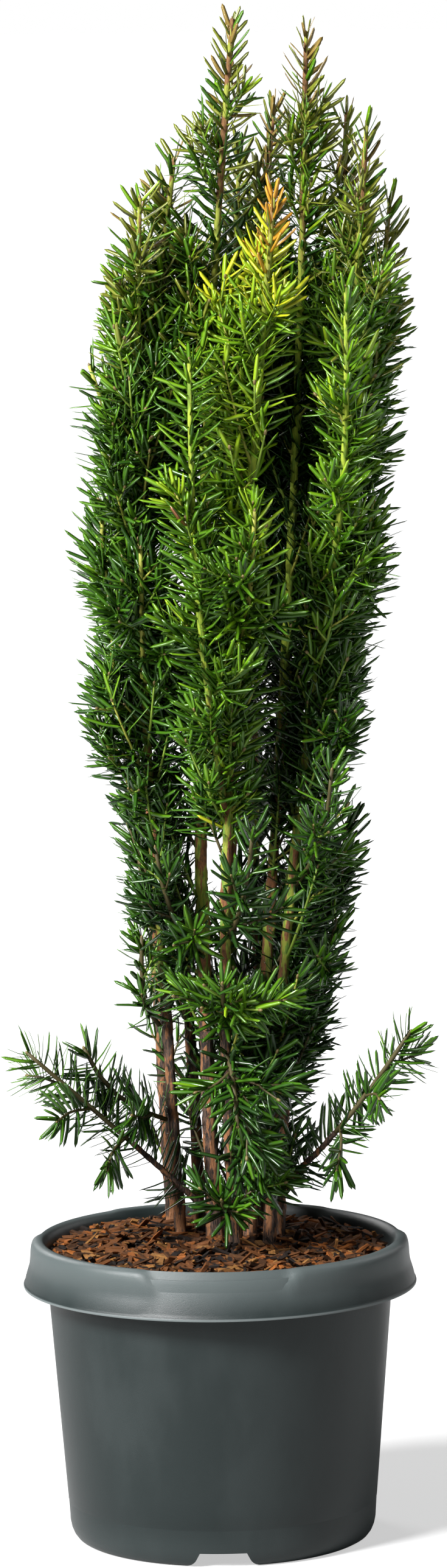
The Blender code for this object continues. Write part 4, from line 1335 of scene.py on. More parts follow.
def needle_sides(sprig, axis, rng):
    """Unit vectors from the twig to each needle: all round it, or in two rows."""
    count = len(axis)
    level = np.cross(axis, (0.0, 0.0, 1.0))
    weak = np.linalg.norm(level, axis=1) < 0.2
    level[weak] = np.cross(axis[weak], (0.0, 1.0, 0.0))
    level = unit(level)
    upward = np.cross(level, axis)
    turn = np.arange(count) * GOLDEN_ANGLE + rng.uniform(0, 6.28) + rng.normal(0, 0.25, count)
    if sprig.mass in OPEN_MASSES:
        turn = math.pi * (np.arange(count) % 2 + 0.5) + rng.uniform(-0.75, 0.75, count)
    return level * np.cos(turn)[:, None] + upward * np.sin(turn)[:, None]


def sprig_needles(sprig, number, settings):
    """The needles of one twig; towards its tip they are shorter and lie closer to it."""
    rng = np.random.default_rng(SEEDS["needle"] + number)
    leading = sprig.order == 0 and sprig.upright
    tufted = leading and sprig.points[-1].x < TUFTS_LEFT_OF
    long = path_length(sprig.points)
    pitch = settings.pitch * (0.8 if sprig.mass in OPEN_MASSES else 1.0)
    count = max(8, int(long / pitch))
    start = 0.0 if sprig.order < 1 else min(0.35, 0.004 / long)
    steps = np.arange(count) + rng.uniform(-0.3, 0.3, count)
    shares = (start + (1.0 - start) * steps / (count - 1)).clip(0.0, 1.0)
    places, axis = line_samples(sprig.points, shares)
    radial = needle_sides(sprig, axis, rng)
    left = (1.0 - shares) * long + (1.0 if sprig.order < 0 else 0.0)
    near_tip = ramp_down(left, 0.0, 0.018)
    spread = np.radians(rng.uniform(58, 82, count)) * (1.0 - (0.34 if tufted else 0.56) * near_tip)
    if leading:
        spread *= 1.0 - (0.10 if tufted else 0.30) * ramp_down(left, 0.02, 0.10)
    heading = unit(axis * np.cos(spread)[:, None] + radial * np.sin(spread)[:, None])
    outward = unit((places - (CENTRE_X, CENTRE_Y, 0.0)) * (1.0, 1.0, 0.0))
    facing = axis * 0.7 + outward * 0.6 + np.array((0.0, 0.0, 0.0 if sprig.upright else 0.4))
    facing = facing + rng.normal(0, 0.22, (count, 3))
    facing = unit(facing - heading * (facing * heading).sum(1, keepdims=True))
    length = settings.length * rng.uniform(0.82, 1.08, count)
    length *= 1.0 - 0.26 * near_tip
    if sprig.order > 0:
        length *= 0.74 + 0.26 * (1.0 - ramp_down(shares * long, 0.0, 0.010))
        length *= min(1.0, 0.66 + long / 0.08)
    elif sprig.upright and not tufted:
        length *= 1.0 - 0.26 * ramp_down(left, 0.01, 0.10)
    width = settings.width * rng.uniform(0.86, 1.12, count)
    width = width * (0.80 + 0.20 * length / settings.length)
    bend = rng.normal(0.02, 0.09, count)
    sickle = rng.normal(0.14, 0.09, count)
    root = places + radial * (sprig_radius(sprig, shares) * 0.75)[:, None]
    return Needles(root, heading, facing, axis, length, width, bend, sickle, shares)


def clear_of_limbs(points, rows, margin):
    """Which points lie outside all the stems and boughs."""
    keep = np.ones(len(points), bool)
    for line, radii in rows:
        for a, b, radius in zip(line, line[1:], radii):
            a = np.array(a)
            span = np.array(b) - a
            share = ((points - a) @ span / (span @ span)).clip(0, 1)
            far = np.linalg.norm(a + share[:, None] * span - points, axis=1)
            keep &= far > radius + margin
    return keep


def shade_level(place):
    """How light the needles of a sprig are, from its height and side, with painted shade inside the
    crown.
    """
    x, y, z = place
    level = LOW_SHADE
    for amount, start, over in LIGHTER_UP:
        level += amount * smooth_step((z - start) / over)
    # A duller band over the bare stems
    level -= 0.35 * smooth_step((0.52 - z) / 0.1) * smooth_step((z - 0.36) / 0.06)
    # The bright rosette in front
    rosette = ((z - ROSETTE_Z) / 0.020) ** 2 + ((x - ROSETTE_X) / 0.030) ** 2
    level += 2.2 * math.exp(-rosette) * (y < -0.02)
    # The low boughs, the left one painted lighter than the right, as painted light falling from the
    # left
    bough = 0.15 if x > 0 else 0.6
    level += bough * math.exp(-((z - 0.335) / 0.05) ** 2) * smooth_step((abs(x) - 0.05) / 0.05)
    # The sprigs just over the mulch
    level += 0.8 * smooth_step((0.235 - z) / 0.02)
    # Painted shade deep inside the crown, and in a channel to the right of its middle
    depth = math.hypot(x - CENTRE_X, y - CENTRE_Y)
    level -= 1.7 * smooth_step((INNER_RADIUS - depth) / 0.05) * smooth_step((0.90 - z) / 0.06)
    channel = smooth_step((0.022 - abs(x - PAINTED_SHADE_CHANNEL_X)) / 0.010)
    return level - 1.6 * channel * (y > -0.020) * (0.55 < z < 0.79)


def golden_leader_shades(tip, heights, levels, rng):
    """Shades of the front leader's needles: yellow-green, and golden at its own tip."""
    levels = np.maximum(levels, 4.3 + rng.normal(0, 0.5, len(levels)))
    leader = leader_named("front")
    near = math.hypot(tip.x - leader.tip[0], tip.y - leader.tip[1]) < GOLDEN_RADIUS
    golden = near & (heights > GOLDEN_ABOVE + rng.normal(0, 0.012, len(levels)))
    levels = np.where((heights > 0.80) & ~golden, levels + 1.1, levels)
    return np.where(golden, SHADE_NUMBER["golden"], levels.clip(0, 6.4))


def top_shades(sprig, heights, levels, rng):
    """Shades near the tips of the leaders, where some needles are olive or bronze."""
    top = next(row.tip[2] for row in LEADERS + FORKS if sprig.mass == "top_" + row.name)
    below = top - heights
    draw = rng.random(len(levels))
    olive = 0.50 if sprig.points[-1].x < -0.01 else 0.80
    tinted = olive * smooth_step((top - 0.82) / 0.07)
    levels = np.where(draw < tinted * ramp_down(below, 0.04, 0.15), SHADE_NUMBER["olive"], levels)
    bronze = BRONZE_TIPS.get(sprig.mass, 0.0) * ramp_down(below, 0.012, 0.080)
    return np.where(draw < bronze, SHADE_NUMBER["bronze"], levels)


def sprig_shades(sprig, number, needles):
    """The shade number of each needle of one sprig."""
    rng = np.random.default_rng(SEEDS["shade"] + number)
    count = len(needles.shares)
    tip = sprig.points[-1]
    level = shade_level(sprig.points[len(sprig.points) // 2]) + rng.normal(0, 0.50)
    levels = level + 1.0 * needles.shares ** 2 + rng.normal(0, 0.55, count)
    x, y, z = needles.root.T
    if sprig.mass == "top_front":
        return golden_leader_shades(tip, z, levels, rng).round().astype(int)
    # Painted light: sunlit masses and the sprigs high in front are made a step lighter
    in_front = 0.0 < tip.x < 0.06 and tip.y < -0.035 and tip.z > 0.60
    if sprig.mass in SUNLIT_MASSES or in_front:
        levels = levels + 1.0
    levels = levels.clip(0, 5.4)
    if sprig.mass.startswith("top_"):
        levels = top_shades(sprig, z, levels, rng)
    spot = (np.abs(x - DEAD_SPOT_X) < 0.010) & (np.abs(z - DEAD_SPOT_Z) < 0.008) & (y < -0.025)
    return np.where(spot, SHADE_NUMBER["dead"], levels).round().astype(int)


def kept_needles(plant, needles, masses, fine, ragged):
    """Which needles are clear of the limbs and the pot and stay within the crown."""
    keep = np.ones(len(needles.root), bool)
    low, high = np.array(CAD_BOX[0]), np.array(CAD_BOX[1])
    for share in (0.35, 0.7, 1.0):
        spot = needles.root + needles.heading * (needles.length * share)[:, None]
        spot = spot + needles.axis * (needles.sickle * needles.length * share ** 2)[:, None]
        keep &= clear_of_limbs(spot, plant["limbs"], LIMB_CLEARANCE)
        keep &= ((spot > low + BOX_ROOM_LOW) & (spot < high - BOX_ROOM_HIGH)).all(1)
        keep &= np.array([above_pot(p, 0.0) for p in spot])
    inner = np.where(spot[:, 2] < LOW_CROWN, LOW_INNER_RADIUS, INNER_RADIUS)
    deep = np.hypot(spot[:, 0] - CENTRE_X, spot[:, 1] - CENTRE_Y) < inner
    keep &= deep | (far_from(plant["lines"], spot) < needle_limit(spot[:, 2]))
    inside = within_sides(needles.root[:, 0], needles.root[:, 2], ragged)
    keep &= inside | np.isin(masses, OPEN_MASSES)
    return keep & ~(fine & shows_stems(*spot.T))


def needle_material(kind, label, *looks):
    """The plain material of one side of a shade's needles, made once."""
    name = kind + "_" + label
    return bpy.data.materials.get(name) or plain_material(name, *looks)


def needle_piece(name, shade, needles, template):
    """One piece of needles of one shade, with paler under sides."""
    points, triangles, slots = template
    side = np.cross(needles.facing, needles.heading)
    length = needles.length[:, None]
    along = points[:, 0]
    places = needles.root[:, None] + needles.heading[:, None] * (length * along)[..., None]
    places += side[:, None] * (needles.width[:, None] * points[:, 1])[..., None]
    rise = RIDGE * points[:, 2] * (1.0 - 0.4 * along)
    rise = rise + (needles.bend * needles.length)[:, None] * along ** 2
    places += needles.facing[:, None] * rise[..., None]
    swept = (needles.sickle * needles.length)[:, None] * along ** 2
    places += needles.axis[:, None] * swept[..., None]
    label, upper, lower = SHADES[shade]
    return repeated(name, places, triangles, slots), [
        needle_material("needle", label, upper, 0.26, 0.58),
        needle_material("under", label, lower, 0.55, 0.4),
    ]


class YEW_OT_make_needles(bpy.types.Operator):
    """Needles of every twig, joined by shade into pieces that stand for the foliage masses"""

    bl_idname = "yew.make_needles"
    bl_label = "Needles"

    def execute(self, context):
        plant = grow_plant()
        template = needle_template()
        leafy = plant["leafy"]
        found = [
            sprig_needles(sprig, number, context.scene.yew_needles)
            for number, sprig in enumerate(leafy)
        ]
        shades = np.concatenate([
            sprig_shades(sprig, number, needles)
            for number, (sprig, needles) in enumerate(zip(leafy, found))
        ])
        counts = [len(needles.root) for needles in found]
        masses = np.repeat([sprig.mass for sprig in leafy], counts)
        fine = np.repeat([sprig.order > 1 for sprig in leafy], counts)
        ragged = [RAGGED * (number * 0.618 % 1.0) - RAGGED / 2 for number in range(len(leafy))]
        needles = Needles(*(np.concatenate(column) for column in zip(*found)))
        keep = kept_needles(plant, needles, masses, fine, np.repeat(ragged, counts))
        for shade, (label, _, _) in enumerate(SHADES):
            chosen = np.flatnonzero(keep & (shades == shade))
            parts = max(1, math.ceil(len(chosen) * len(template[1]) / PIECE_TRIANGLES))
            for part, index in enumerate(np.array_split(chosen, parts)):
                if not len(index):
                    continue
                name = "needles_%s_%d" % (label, part + 1)
                rows = Needles(*(column[index] for column in needles))
                item, materials = needle_piece(name, shade, rows, template)
                nodes = sorted({"foliage_" + mass for mass in masses[index]})
                finish(item, materials, nodes)
        print("needles", int(keep.sum()), "of", len(keep))
        return {"FINISHED"}


class YEW_OT_make_twigs(bpy.types.Operator):
    """Leafy twigs and their buds, joined by colour"""

    bl_idname = "yew.make_twigs"
    bl_label = "Twigs"

    def execute(self, context):
        plant = grow_plant()
        kinds = {"leader": [], "brown": [], "olive": [], "green": []}
        for number, sprig in enumerate(plant["sprigs"]):
            if sprig.order == 0 and sprig.upright:
                kinds["leader"].append(sprig)
            elif sprig.points[0].z < 0.46 and (sprig.order < 2 or number % 2):
                kinds["brown"].append(sprig)
            elif sprig.order == 0 or number % 3 == 0:
                kinds["olive"].append(sprig)
            else:
                kinds["green"].append(sprig)
        for kind, sprigs in kinds.items():
            item = twig_piece("twigs_" + kind, sprigs)
            if kind == "leader":
                finish(item, [grown["bark"]])
                continue
            material = plain_material("twig_" + kind, TWIG_COLOURS[kind], 0.6, 0.4)
            finish(item, [material])
        material = plain_material("bud_scales", BUD_COLOUR, 0.5)
        finish(bud_piece(plant["sprigs"]), [material])
        return {"FINISHED"}


def twig_piece(name, sprigs):
    """Tapered twigs along their middle lines, as one mesh."""
    curve = bpy.data.curves.new(name, "CURVE")
    curve.dimensions = "3D"
    curve.bevel_depth = 1.0
    curve.bevel_resolution = 1
    curve.use_fill_caps = True
    for sprig in sprigs:
        spline = curve.splines.new("POLY")
        count = 9 if sprig.order == 0 else 6
        places, _ = line_samples(sprig.points, np.linspace(0.0, 1.0, count))
        spline.points.add(count - 1)
        for index, place in enumerate(places):
            spline.points[index].co = (*place, 1.0)
            spline.points[index].radius = sprig_radius(sprig, index / (count - 1))
    holder = bpy.data.objects.new(name + "_line", curve)
    bpy.context.scene.collection.objects.link(holder)
    depsgraph = bpy.context.evaluated_depsgraph_get()
    mesh = bpy.data.meshes.new_from_object(holder.evaluated_get(depsgraph))
    bpy.data.objects.remove(holder, do_unlink=True)
    bm = bmesh.new()
    bm.from_mesh(mesh)
    bpy.data.meshes.remove(mesh)
    bmesh.ops.remove_doubles(bm, verts=bm.verts, dist=0.000001)
    return object_from(bm, name)


def bud_piece(sprigs):
    """A small pointed bud at the end of every twig."""
    bm = bmesh.new()
    bmesh.ops.create_icosphere(bm, subdivisions=1, radius=1.0)
    points, triangles, _ = template_arrays(bm)
    places = []
    for number, sprig in enumerate(sprigs):
        rng = random.Random(SEEDS["bud"] + number)
        end, direction = path_point(sprig.points, 1.0)
        side = across(direction)
        turn = np.array([tuple(side), tuple(direction.cross(side)), tuple(direction)])
        size = np.array(BUD_SIZE) * rng.uniform(0.85, 1.25)
        places.append((points * size) @ turn + np.array(end))
    return repeated("twig_buds", np.array(places), triangles)


# Stems and boughs


def bark_material(settings):
    """Flaking brown bark low down, yellow-olive half way up and reddish brown near the tips."""
    look = Finish("stem_bark_relief", stretch=(1.0, 1.0, 0.20))
    tree = look.tree
    coarse = look.noise(420.0, 1800.0)
    flakes = look.noise(240.0, 900.0)
    height = look.axis("Z")
    flake, young, top = settings.flake_colour[:], settings.young_colour[:], settings.top_colour[:]
    dark, old = (toned(settings.old_colour, share) for share in (0.22, 1.6))
    lower = mixed(tree, mask(tree, flakes["Grain"], 0.30, 0.75), dark, old)
    lower = mixed(tree, mask(tree, flakes["Patches"], 0.56, 0.70), lower, flake)
    lower = mixed(tree, mask(tree, coarse["Grain"], 0.72, 0.95), lower, toned(flake, 0.5))
    green = mixed(tree, mask(tree, coarse["Patches"], 0.45, 0.80), young, BARK_MOSS)
    scar = mixed(tree, coarse["Grain"], *BARK_SCARS)
    middle = mixed(tree, mask(tree, flakes["Patches"], 0.50, 0.62), green, scar)
    lime = mixed(tree, mask(tree, coarse["Patches"], 0.30, 0.80), *BARK_LIMES)
    upper = mixed(tree, coarse["Grain"], top, toned(top, 0.45))
    upper = mixed(tree, mask(tree, flakes["Patches"], 0.42, 0.62), upper, young)
    colour = lower
    for heights, above in ((BARK_MIDDLE, middle), (BARK_LIME, lime), (BARK_TOP, upper)):
        colour = mixed(tree, mask(tree, height, *heights), colour, above)
    look.colour(colour)
    look.roughness(mask(tree, coarse["Grain"], 0.0, 1.0, 0.62, 0.88))
    look.bump(flakes["Height"], 0.0014, 0.9)
    return look.material


def relieved(bm, settings, radius_at):
    """Push the bark in at furrows and out at flakes."""
    for vertex in bm.verts:
        x, y, z = vertex.co
        furrow = noise.noise(Vector((x * 260, y * 260, z * 45)))
        plate = noise.noise(Vector((x * 420, y * 420, z * 120)) + Vector((7, 3, 1)))
        swelling = 0.00045 * max(0.0, noise.noise(Vector((x * 8, y * 8, z * 55)))) ** 2
        depth = settings.relief * min(1.0, radius_at(z) / 0.004)
        push = depth * (0.75 * furrow + 0.45 * (1.0 if plate > 0.12 else -0.3))
        push = push + swelling - depth * 0.3
        vertex.co = vertex.co + vertex.normal * push


def barked(points, radii, sides, settings, radius_at, name):
    """A stem or bough with the relief of its bark."""
    bm = tube(tube_frames(points), radii, sides)
    bm.normal_update()
    relieved(bm, settings, radius_at)
    return object_from(bm, "bark_" + name)


class YEW_OT_make_stems(bpy.types.Operator):
    """The ten stems with the relief of their bark"""

    bl_idname = "yew.make_stems"
    bl_label = "Stems"

    def execute(self, context):
        settings = context.scene.yew_bark
        material = bark_material(settings)
        grown["bark"] = material
        for leader in LEADERS:
            count = int((leader.bare_top - STEM_FOOT) / BARK_STEP)
            heights = even(STEM_FOOT, leader.bare_top, count)
            points = [stem_axis(leader, z) for z in heights]
            radii = [stem_radius(leader, z) for z in heights]
            item = barked(
                points, radii, 16, settings,
                lambda z: stem_radius(leader, max(z, STEM_FOOT)), leader.name,
            )
            finish(item, [material], ["stem_" + leader.name], angle=60)
        return {"FINISHED"}


class YEW_OT_make_boughs(bpy.types.Operator):
    """The two low boughs"""

    bl_idname = "yew.make_boughs"
    bl_label = "Boughs"

    def execute(self, context):
        settings = context.scene.yew_bark
        for bough in BOUGHS:
            shares = even(0.0, bough.end, 40)
            points = bough_line(bough, shares)
            points[0] = points[0] - (points[1] - points[0]).normalized() * bough.radius * 0.8
            radii = [bough_radius(bough, share) for share in shares]
            item = barked(
                points, radii, 12, settings, lambda z: bough.radius, "bough_" + bough.name,
            )
            finish(item, [grown["bark"]], ["bough_" + bough.name], angle=60)
        return {"FINISHED"}


# Soil and mulch


class YEW_OT_finish_soil(bpy.types.Operator):
    """Colours for the root ball and the bed under the bark chips"""

    bl_idname = "yew.finish_soil"
    bl_label = "Soil"

    def execute(self, context):
        look = Finish("potting_soil")
        grain = look.noise(60.0, 420.0)
        look.colour(ramp(look.tree, grain["Grain"], SOIL_COLOURS))
        look.roughness(mask(look.tree, grain["Patches"], 0.0, 1.0, 0.85, 0.98))
        look.bump(grain["Height"], 0.0015)
        bed = Finish("mulch_bed")
        chips = bed.noise(130.0, 520.0)
        colour = ramp(bed.tree, chips["Patches"], BED_COLOURS)
        bed.colour(mixed(bed.tree, chips["Grain"], colour, BED_GRAIN))
        bed.roughness(mask(bed.tree, chips["Grain"], 0.0, 1.0, 0.80, 0.95))
        bed.bump(chips["Height"], 0.002)
        for name, material in (("root_ball", look.material), ("bark_mulch", bed.material)):
            node = frame["nodes"][name]
            if not node.data.materials:
                node.data.materials.append(material)
            for place in node.material_slots:
                place.material = material
        return {"FINISHED"}


def splinter_template():
    """A flat splinter of bark, divided along its length."""
    bm = bmesh.new()
    bmesh.ops.create_cube(bm, size=1.0)
    long_edges = [e for e in bm.edges if abs(e.verts[0].co.x - e.verts[1].co.x) > 0.5]
    bmesh.ops.subdivide_edges(bm, edges=long_edges, cuts=2, use_grid_fill=True)
    return template_arrays(bm)


def chip_material(name, colour):
    """Fibrous bark: streaks along each chip, with painted shade darkening its grooves."""
    look = Finish("chip_" + name, coordinates="UV", stretch=(4.0, 60.0, 1.0))
    streaks = look.noise(1.0, 3.5)
    light = tuple(min(1.0, 1.45 * part + 0.01) for part in colour)
    base = mixed(look.tree, streaks["Patches"], toned(colour, 0.40), colour)
    look.colour(mixed(look.tree, mask(look.tree, streaks["Grain"], 0.60, 0.95), base, light))
    look.shader.inputs["Specular IOR Level"].default_value = 0.25
    look.roughness(mask(look.tree, streaks["Grain"], 0.0, 1.0, 0.72, 0.92))
    look.bump(streaks["Height"], 0.0006, 0.8)
    return look.material


def chip_turns(yaw, tilt, roll):
    """A turning matrix for each chip."""
    cos_yaw, sin_yaw, cos_tilt, sin_tilt, cos_roll, sin_roll = (
        part(angle) for angle in (yaw, tilt, roll) for part in (np.cos, np.sin)
    )
    return np.stack([
        np.stack([
            cos_yaw * cos_tilt,
            cos_yaw * sin_tilt * sin_roll - sin_yaw * cos_roll,
            cos_yaw * sin_tilt * cos_roll + sin_yaw * sin_roll,
        ], 1),
        np.stack([
            sin_yaw * cos_tilt,
            sin_yaw * sin_tilt * sin_roll + cos_yaw * cos_roll,
            sin_yaw * sin_tilt * cos_roll - cos_yaw * sin_roll,
        ], 1),
        np.stack([-sin_tilt, cos_tilt * sin_roll, cos_tilt * cos_roll], 1),
    ], 1)


def chip_places(points, settings, rng):
    """Corners of every chip where it lies, and the chips' lengths."""
    count = settings.count
    radius = CHIP_CIRCLE * np.sqrt(rng.random(count))
    angle = rng.uniform(0, 2 * math.pi, count)
    x, y = radius * np.cos(angle), radius * np.sin(angle)
    long = settings.length * rng.uniform(0.30, 1.0, count) ** 1.2
    wide = settings.width * rng.uniform(0.28, 1.0, count)
    thick = rng.uniform(*CHIP_THICKNESS, count)
    yaw = rng.uniform(0, math.pi, count)
    tilt = rng.normal(0, 0.16, count)
    roll = rng.normal(0, 0.30, count)
    steep = rng.random(count) < STEEP_CHIPS
    tilt = np.where(steep, rng.uniform(0.4, 0.8, count), tilt)
    inset = CHIP_INSET - np.hypot(x, y)
    long = np.minimum(long, 2 * np.maximum(inset, 0.003) + 0.004)
    base = np.array([mulch_height(a, b) for a, b in zip(x, y)])
    lift = rng.uniform(0.0, CHIP_PILE, count) + 0.5 * long * np.abs(np.sin(tilt)) * 0.55
    size = np.stack([long, wide, thick], 1)
    body = points[None] * size[:, None]
    body += rng.normal(0, 0.14, (count, len(points), 3)) * np.minimum(size, 0.004)[:, None] * 0.9
    bow = rng.normal(0, 0.10, count) * long
    body[:, :, 2] += bow[:, None] * (points[:, 0] ** 2)[None]
    places = np.einsum("nij,nkj->nki", chip_turns(yaw, tilt, roll), body)
    return places + np.stack([x, y, base + lift], 1)[:, None], long


class YEW_OT_make_mulch(bpy.types.Operator):
    """Loose chips of bark lying over one another round the stems"""

    bl_idname = "yew.make_mulch"
    bl_label = "Bark chips"

    def execute(self, context):
        settings = context.scene.yew_mulch
        count = settings.count
        points, triangles, _ = splinter_template()
        rng = np.random.default_rng(SEEDS["chip"])
        places, long = chip_places(points, settings, rng)
        keep = np.hypot(places[..., 0], places[..., 1]).max(1) < CHIP_LIMIT
        for line, radii in grow_plant()["limbs"]:
            near = np.hypot(places[..., 0] - line[0].x, places[..., 1] - line[0].y).min(1)
            keep &= near > radii[0] * 0.55
        number = rng.choice(len(CHIP_KINDS), count, p=[kind[1] for kind in CHIP_KINDS])
        flow = np.stack([points[:, 0], points[:, 1] * 0.3 + points[:, 2] * 0.1], 1)[None]
        flow = flow * np.stack([long * 60, np.ones(count)], 1)[:, None]
        flow = flow + rng.random((count, 1, 2)) * 9
        for kind, (name, _, colour) in enumerate(CHIP_KINDS):
            chosen = keep & (number == kind)
            item = repeated("bark_chips_" + name, places[chosen], triangles, flow=flow[chosen])
            finish(item, [chip_material(name, colour)], angle=40)
        return {"FINISHED"}


# The pot


def body_radius(height):
    """Outer radius of the pot's tapered body at a height."""
    share = (height - BODY_FOOT_HEIGHT) / (BODY_TOP_HEIGHT - BODY_FOOT_HEIGHT)
    return BODY_FOOT_RADIUS + (BODY_TOP_RADIUS - BODY_FOOT_RADIUS) * share


def rounded_skirt():
    """Outer line of the skirt where it has a round shoulder, down to its bead."""
    return [
        (LIP_RADIUS, 0.1970), (0.1165, 0.1979), (0.1182, 0.1983), (0.1201, 0.1981), (0.1219, 0.1972),
        (0.1231, 0.1957), (0.1238, 0.1936), (0.1242, 0.1905), (0.1244, 0.1870), (0.1247, 0.1835),
        (0.1251, 0.1810), (0.1258, 0.1788), (0.1266, 0.1762), (0.1274, 0.1734), (0.1280, 0.1708),
        (0.1283, 0.1697), (0.1288, 0.1692), (0.1290, 0.1684), (0.1289, 0.1677), (0.1284, SKIRT_FOOT),
    ]


def plain_skirt():
    """Outer line of the skirt where it is a plain cone, point for point."""
    rounded = rounded_skirt()
    top = Vector((0.1186, 0.1978))
    foot = Vector(rounded[15])
    line = [(LIP_RADIUS, 0.1962), (0.1170, 0.1972), (0.1180, 0.1978)]
    line += [tuple(top.lerp(foot, i / 12)) for i in range(13)]
    return line[:16] + rounded[16:]


def foot_line():
    """Outer line of the pot's foot: a seam, the rounded heel, the ring and the middle pad."""
    heel = (
        (0.0, 0.0150), (0.0002, 0.0112), (0.0010, 0.0072), (0.0024, 0.0038), (0.0042, 0.0014),
        (0.0062, 0.0003), (0.0080, 0.0),
    )
    return [
        (body_radius(SEAM_HEIGHT) + 0.00005, SEAM_HEIGHT + SEAM_STEP),
        (body_radius(SEAM_HEIGHT) - SEAM_DEPTH, SEAM_HEIGHT),
        (body_radius(SEAM_HEIGHT) - SEAM_DEPTH, SEAM_HEIGHT - SEAM_STEP),
        *((BODY_FOOT_RADIUS - inwards, height) for inwards, height in heel),
        (FOOT_RING_RADIUS, 0.0), (FOOT_RING_RADIUS - 0.0010, FLOOR_UNDER),
        (CENTRE_PAD_RADIUS + 0.0020, FLOOR_UNDER), (CENTRE_PAD_RADIUS, 0.0), (0.0, 0.0),
    ]


def pot_profile():
    """Half section of the pot: the inside first, then over the rim and down the outside."""
    inner_foot = body_radius(BODY_FOOT_HEIGHT) - WALL
    inner_ledge = body_radius(LEDGE_HEIGHT) - WALL - LEDGE_STEP
    inside = [
        (0.0, FLOOR_TOP), (inner_foot - 0.0025, FLOOR_TOP), (inner_foot, BODY_FOOT_HEIGHT),
        (inner_ledge, LEDGE_HEIGHT - 0.0006), (inner_ledge + 0.0006, LEDGE_HEIGHT - 0.0001),
        (inner_ledge + LEDGE_STEP, LEDGE_HEIGHT), (body_radius(0.1933) - WALL, 0.1933),
    ]
    under = [
        (0.1274, SKIRT_FOOT), (0.1268, 0.1700), (0.1237, 0.1805), (0.1222, 0.1900),
        (0.1214, 0.1927), (BODY_TOP_RADIUS, 0.1925),
    ]
    outside = [(body_radius(z), z) for z in (0.160, 0.120, 0.080, 0.045)] + foot_line()
    return inside + rounded_skirt() + under + outside


def plain_share(azimuth, height, swoop):
    """1 in the plain segments of the skirt, 0 in the rounded ones, with a swept change between."""
    pitch = 2.0 * math.pi / PLAIN_SEGMENTS
    offset = abs((azimuth + math.pi / 2 + pitch / 2) % pitch - pitch / 2)
    rise = (height - SKIRT_FOOT) / (RIM_HEIGHT - SKIRT_FOOT)
    sweep = 0.045 * math.sin(rise * math.pi * 1.2 - 0.6)
    return 1.0 - smooth_step((offset + sweep - PLAIN_HALF_ANGLE) / swoop + 0.5)


def shape_skirt(bm, swoop):
    """Pull the turned shoulder to the plain cone in the plain segments."""
    rows = list(zip(rounded_skirt()[:16], plain_skirt()[:16]))
    for vertex in bm.verts:
        radius = math.hypot(vertex.co.x, vertex.co.y)
        if vertex.co.z < SKIRT_FOOT or radius < LIP_RADIUS - 0.0001:
            continue
        azimuth = math.atan2(vertex.co.y, vertex.co.x)
        for old, new in rows:
            if abs(radius - old[0]) + abs(vertex.co.z - old[1]) < 0.00004:
                share = plain_share(azimuth, vertex.co.z, swoop)
                wanted = old[0] + (new[0] - old[0]) * share
                vertex.co.x *= wanted / radius
                vertex.co.y *= wanted / radius
                vertex.co.z = old[1] + (new[1] - old[1]) * share
                break


def add_notch(bm, azimuth):
    """A closed block whose outline is a notch of the foot ring."""
    corner = []
    for step in range(NOTCH_STEPS + 1):
        angle = math.radians(-90 - NOTCH_ARC * step / NOTCH_STEPS)
        corner.append((
            NOTCH_FOOT_HALF + NOTCH_CORNER_RADIUS * math.cos(angle),
            NOTCH_CORNER_RADIUS * (1.0 + math.sin(angle)),
        ))
    right = [(NOTCH_FOOT_HALF, -0.004)] + corner + [(NOTCH_TOP_HALF, FLOOR_UNDER)]
    outline = right + [(-x, z) for x, z in reversed(right)]
    face = bm.faces.new([bm.verts.new((FOOT_RING_RADIUS - 0.008, x, z)) for x, z in outline])
    made = bmesh.ops.extrude_face_region(bm, geom=[face])["geom"]
    moved = [v for v in made if isinstance(v, bmesh.types.BMVert)]
    bmesh.ops.translate(bm, verts=moved, vec=(0.03, 0.0, 0.0))
    block = moved + list(face.verts)
    bmesh.ops.rotate(bm, verts=block, matrix=Matrix.Rotation(azimuth, 3, "Z"))


def pot_material(settings):
    """Moulded plastic with a fine grain, faint flow marks and dust, a rim painted lighter as painted
    light from above, and a painted highlight along its lower lip.
    """
    look = Finish("moulded_plastic", stretch=(1.0, 1.0, 0.5))
    tree = look.tree
    marks = look.noise(14.0, 2600.0)
    height = look.axis("Z")
    dust_and_painted_light = settings.dust_and_painted_light[:]
    body = mixed(tree, mask(tree, marks["Patches"], 0.2, 1.0, 0.0, 0.10), settings.colour[:], dust_and_painted_light)
    body = mixed(tree, mask(tree, height, 0.030, 0.0, 0.0, 0.14), body, dust_and_painted_light)
    flat = add(tree, "ShaderNodeVectorMath", (-1100, 500), operation="MULTIPLY")
    flat.inputs[1].default_value = (1.0, 1.0, 0.0)
    tree.links.new(look.place, flat.inputs[0])
    radius = add(tree, "ShaderNodeVectorMath", (-900, 500), operation="LENGTH")
    tree.links.new(flat.outputs[0], radius.inputs[0])
    outer = mask(tree, radius.outputs["Value"], *RIM_OUTSIDE, 0.05, 0.85)
    # Painted light over the top of the rim, and a painted highlight along its lower lip
    for heights, colour in ((RIM_PAINTED_LIGHT, dust_and_painted_light), (RIM_PAINTED_HIGHLIGHT, RIM_HIGHLIGHT_COLOUR)):
        share = add(tree, "ShaderNodeMath", (-500, 500), operation="MULTIPLY")
        tree.links.new(mask(tree, height, *heights), share.inputs[0])
        tree.links.new(outer, share.inputs[1])
        body = mixed(tree, share.outputs[0], body, colour)
    look.colour(body)
    look.shader.inputs["Specular IOR Level"].default_value = 0.30
    look.roughness(mask(tree, marks["Patches"], 0.0, 1.0, 0.32, 0.42))
    look.bump(marks["Grain"], 0.00008, 0.5)
    return look.material


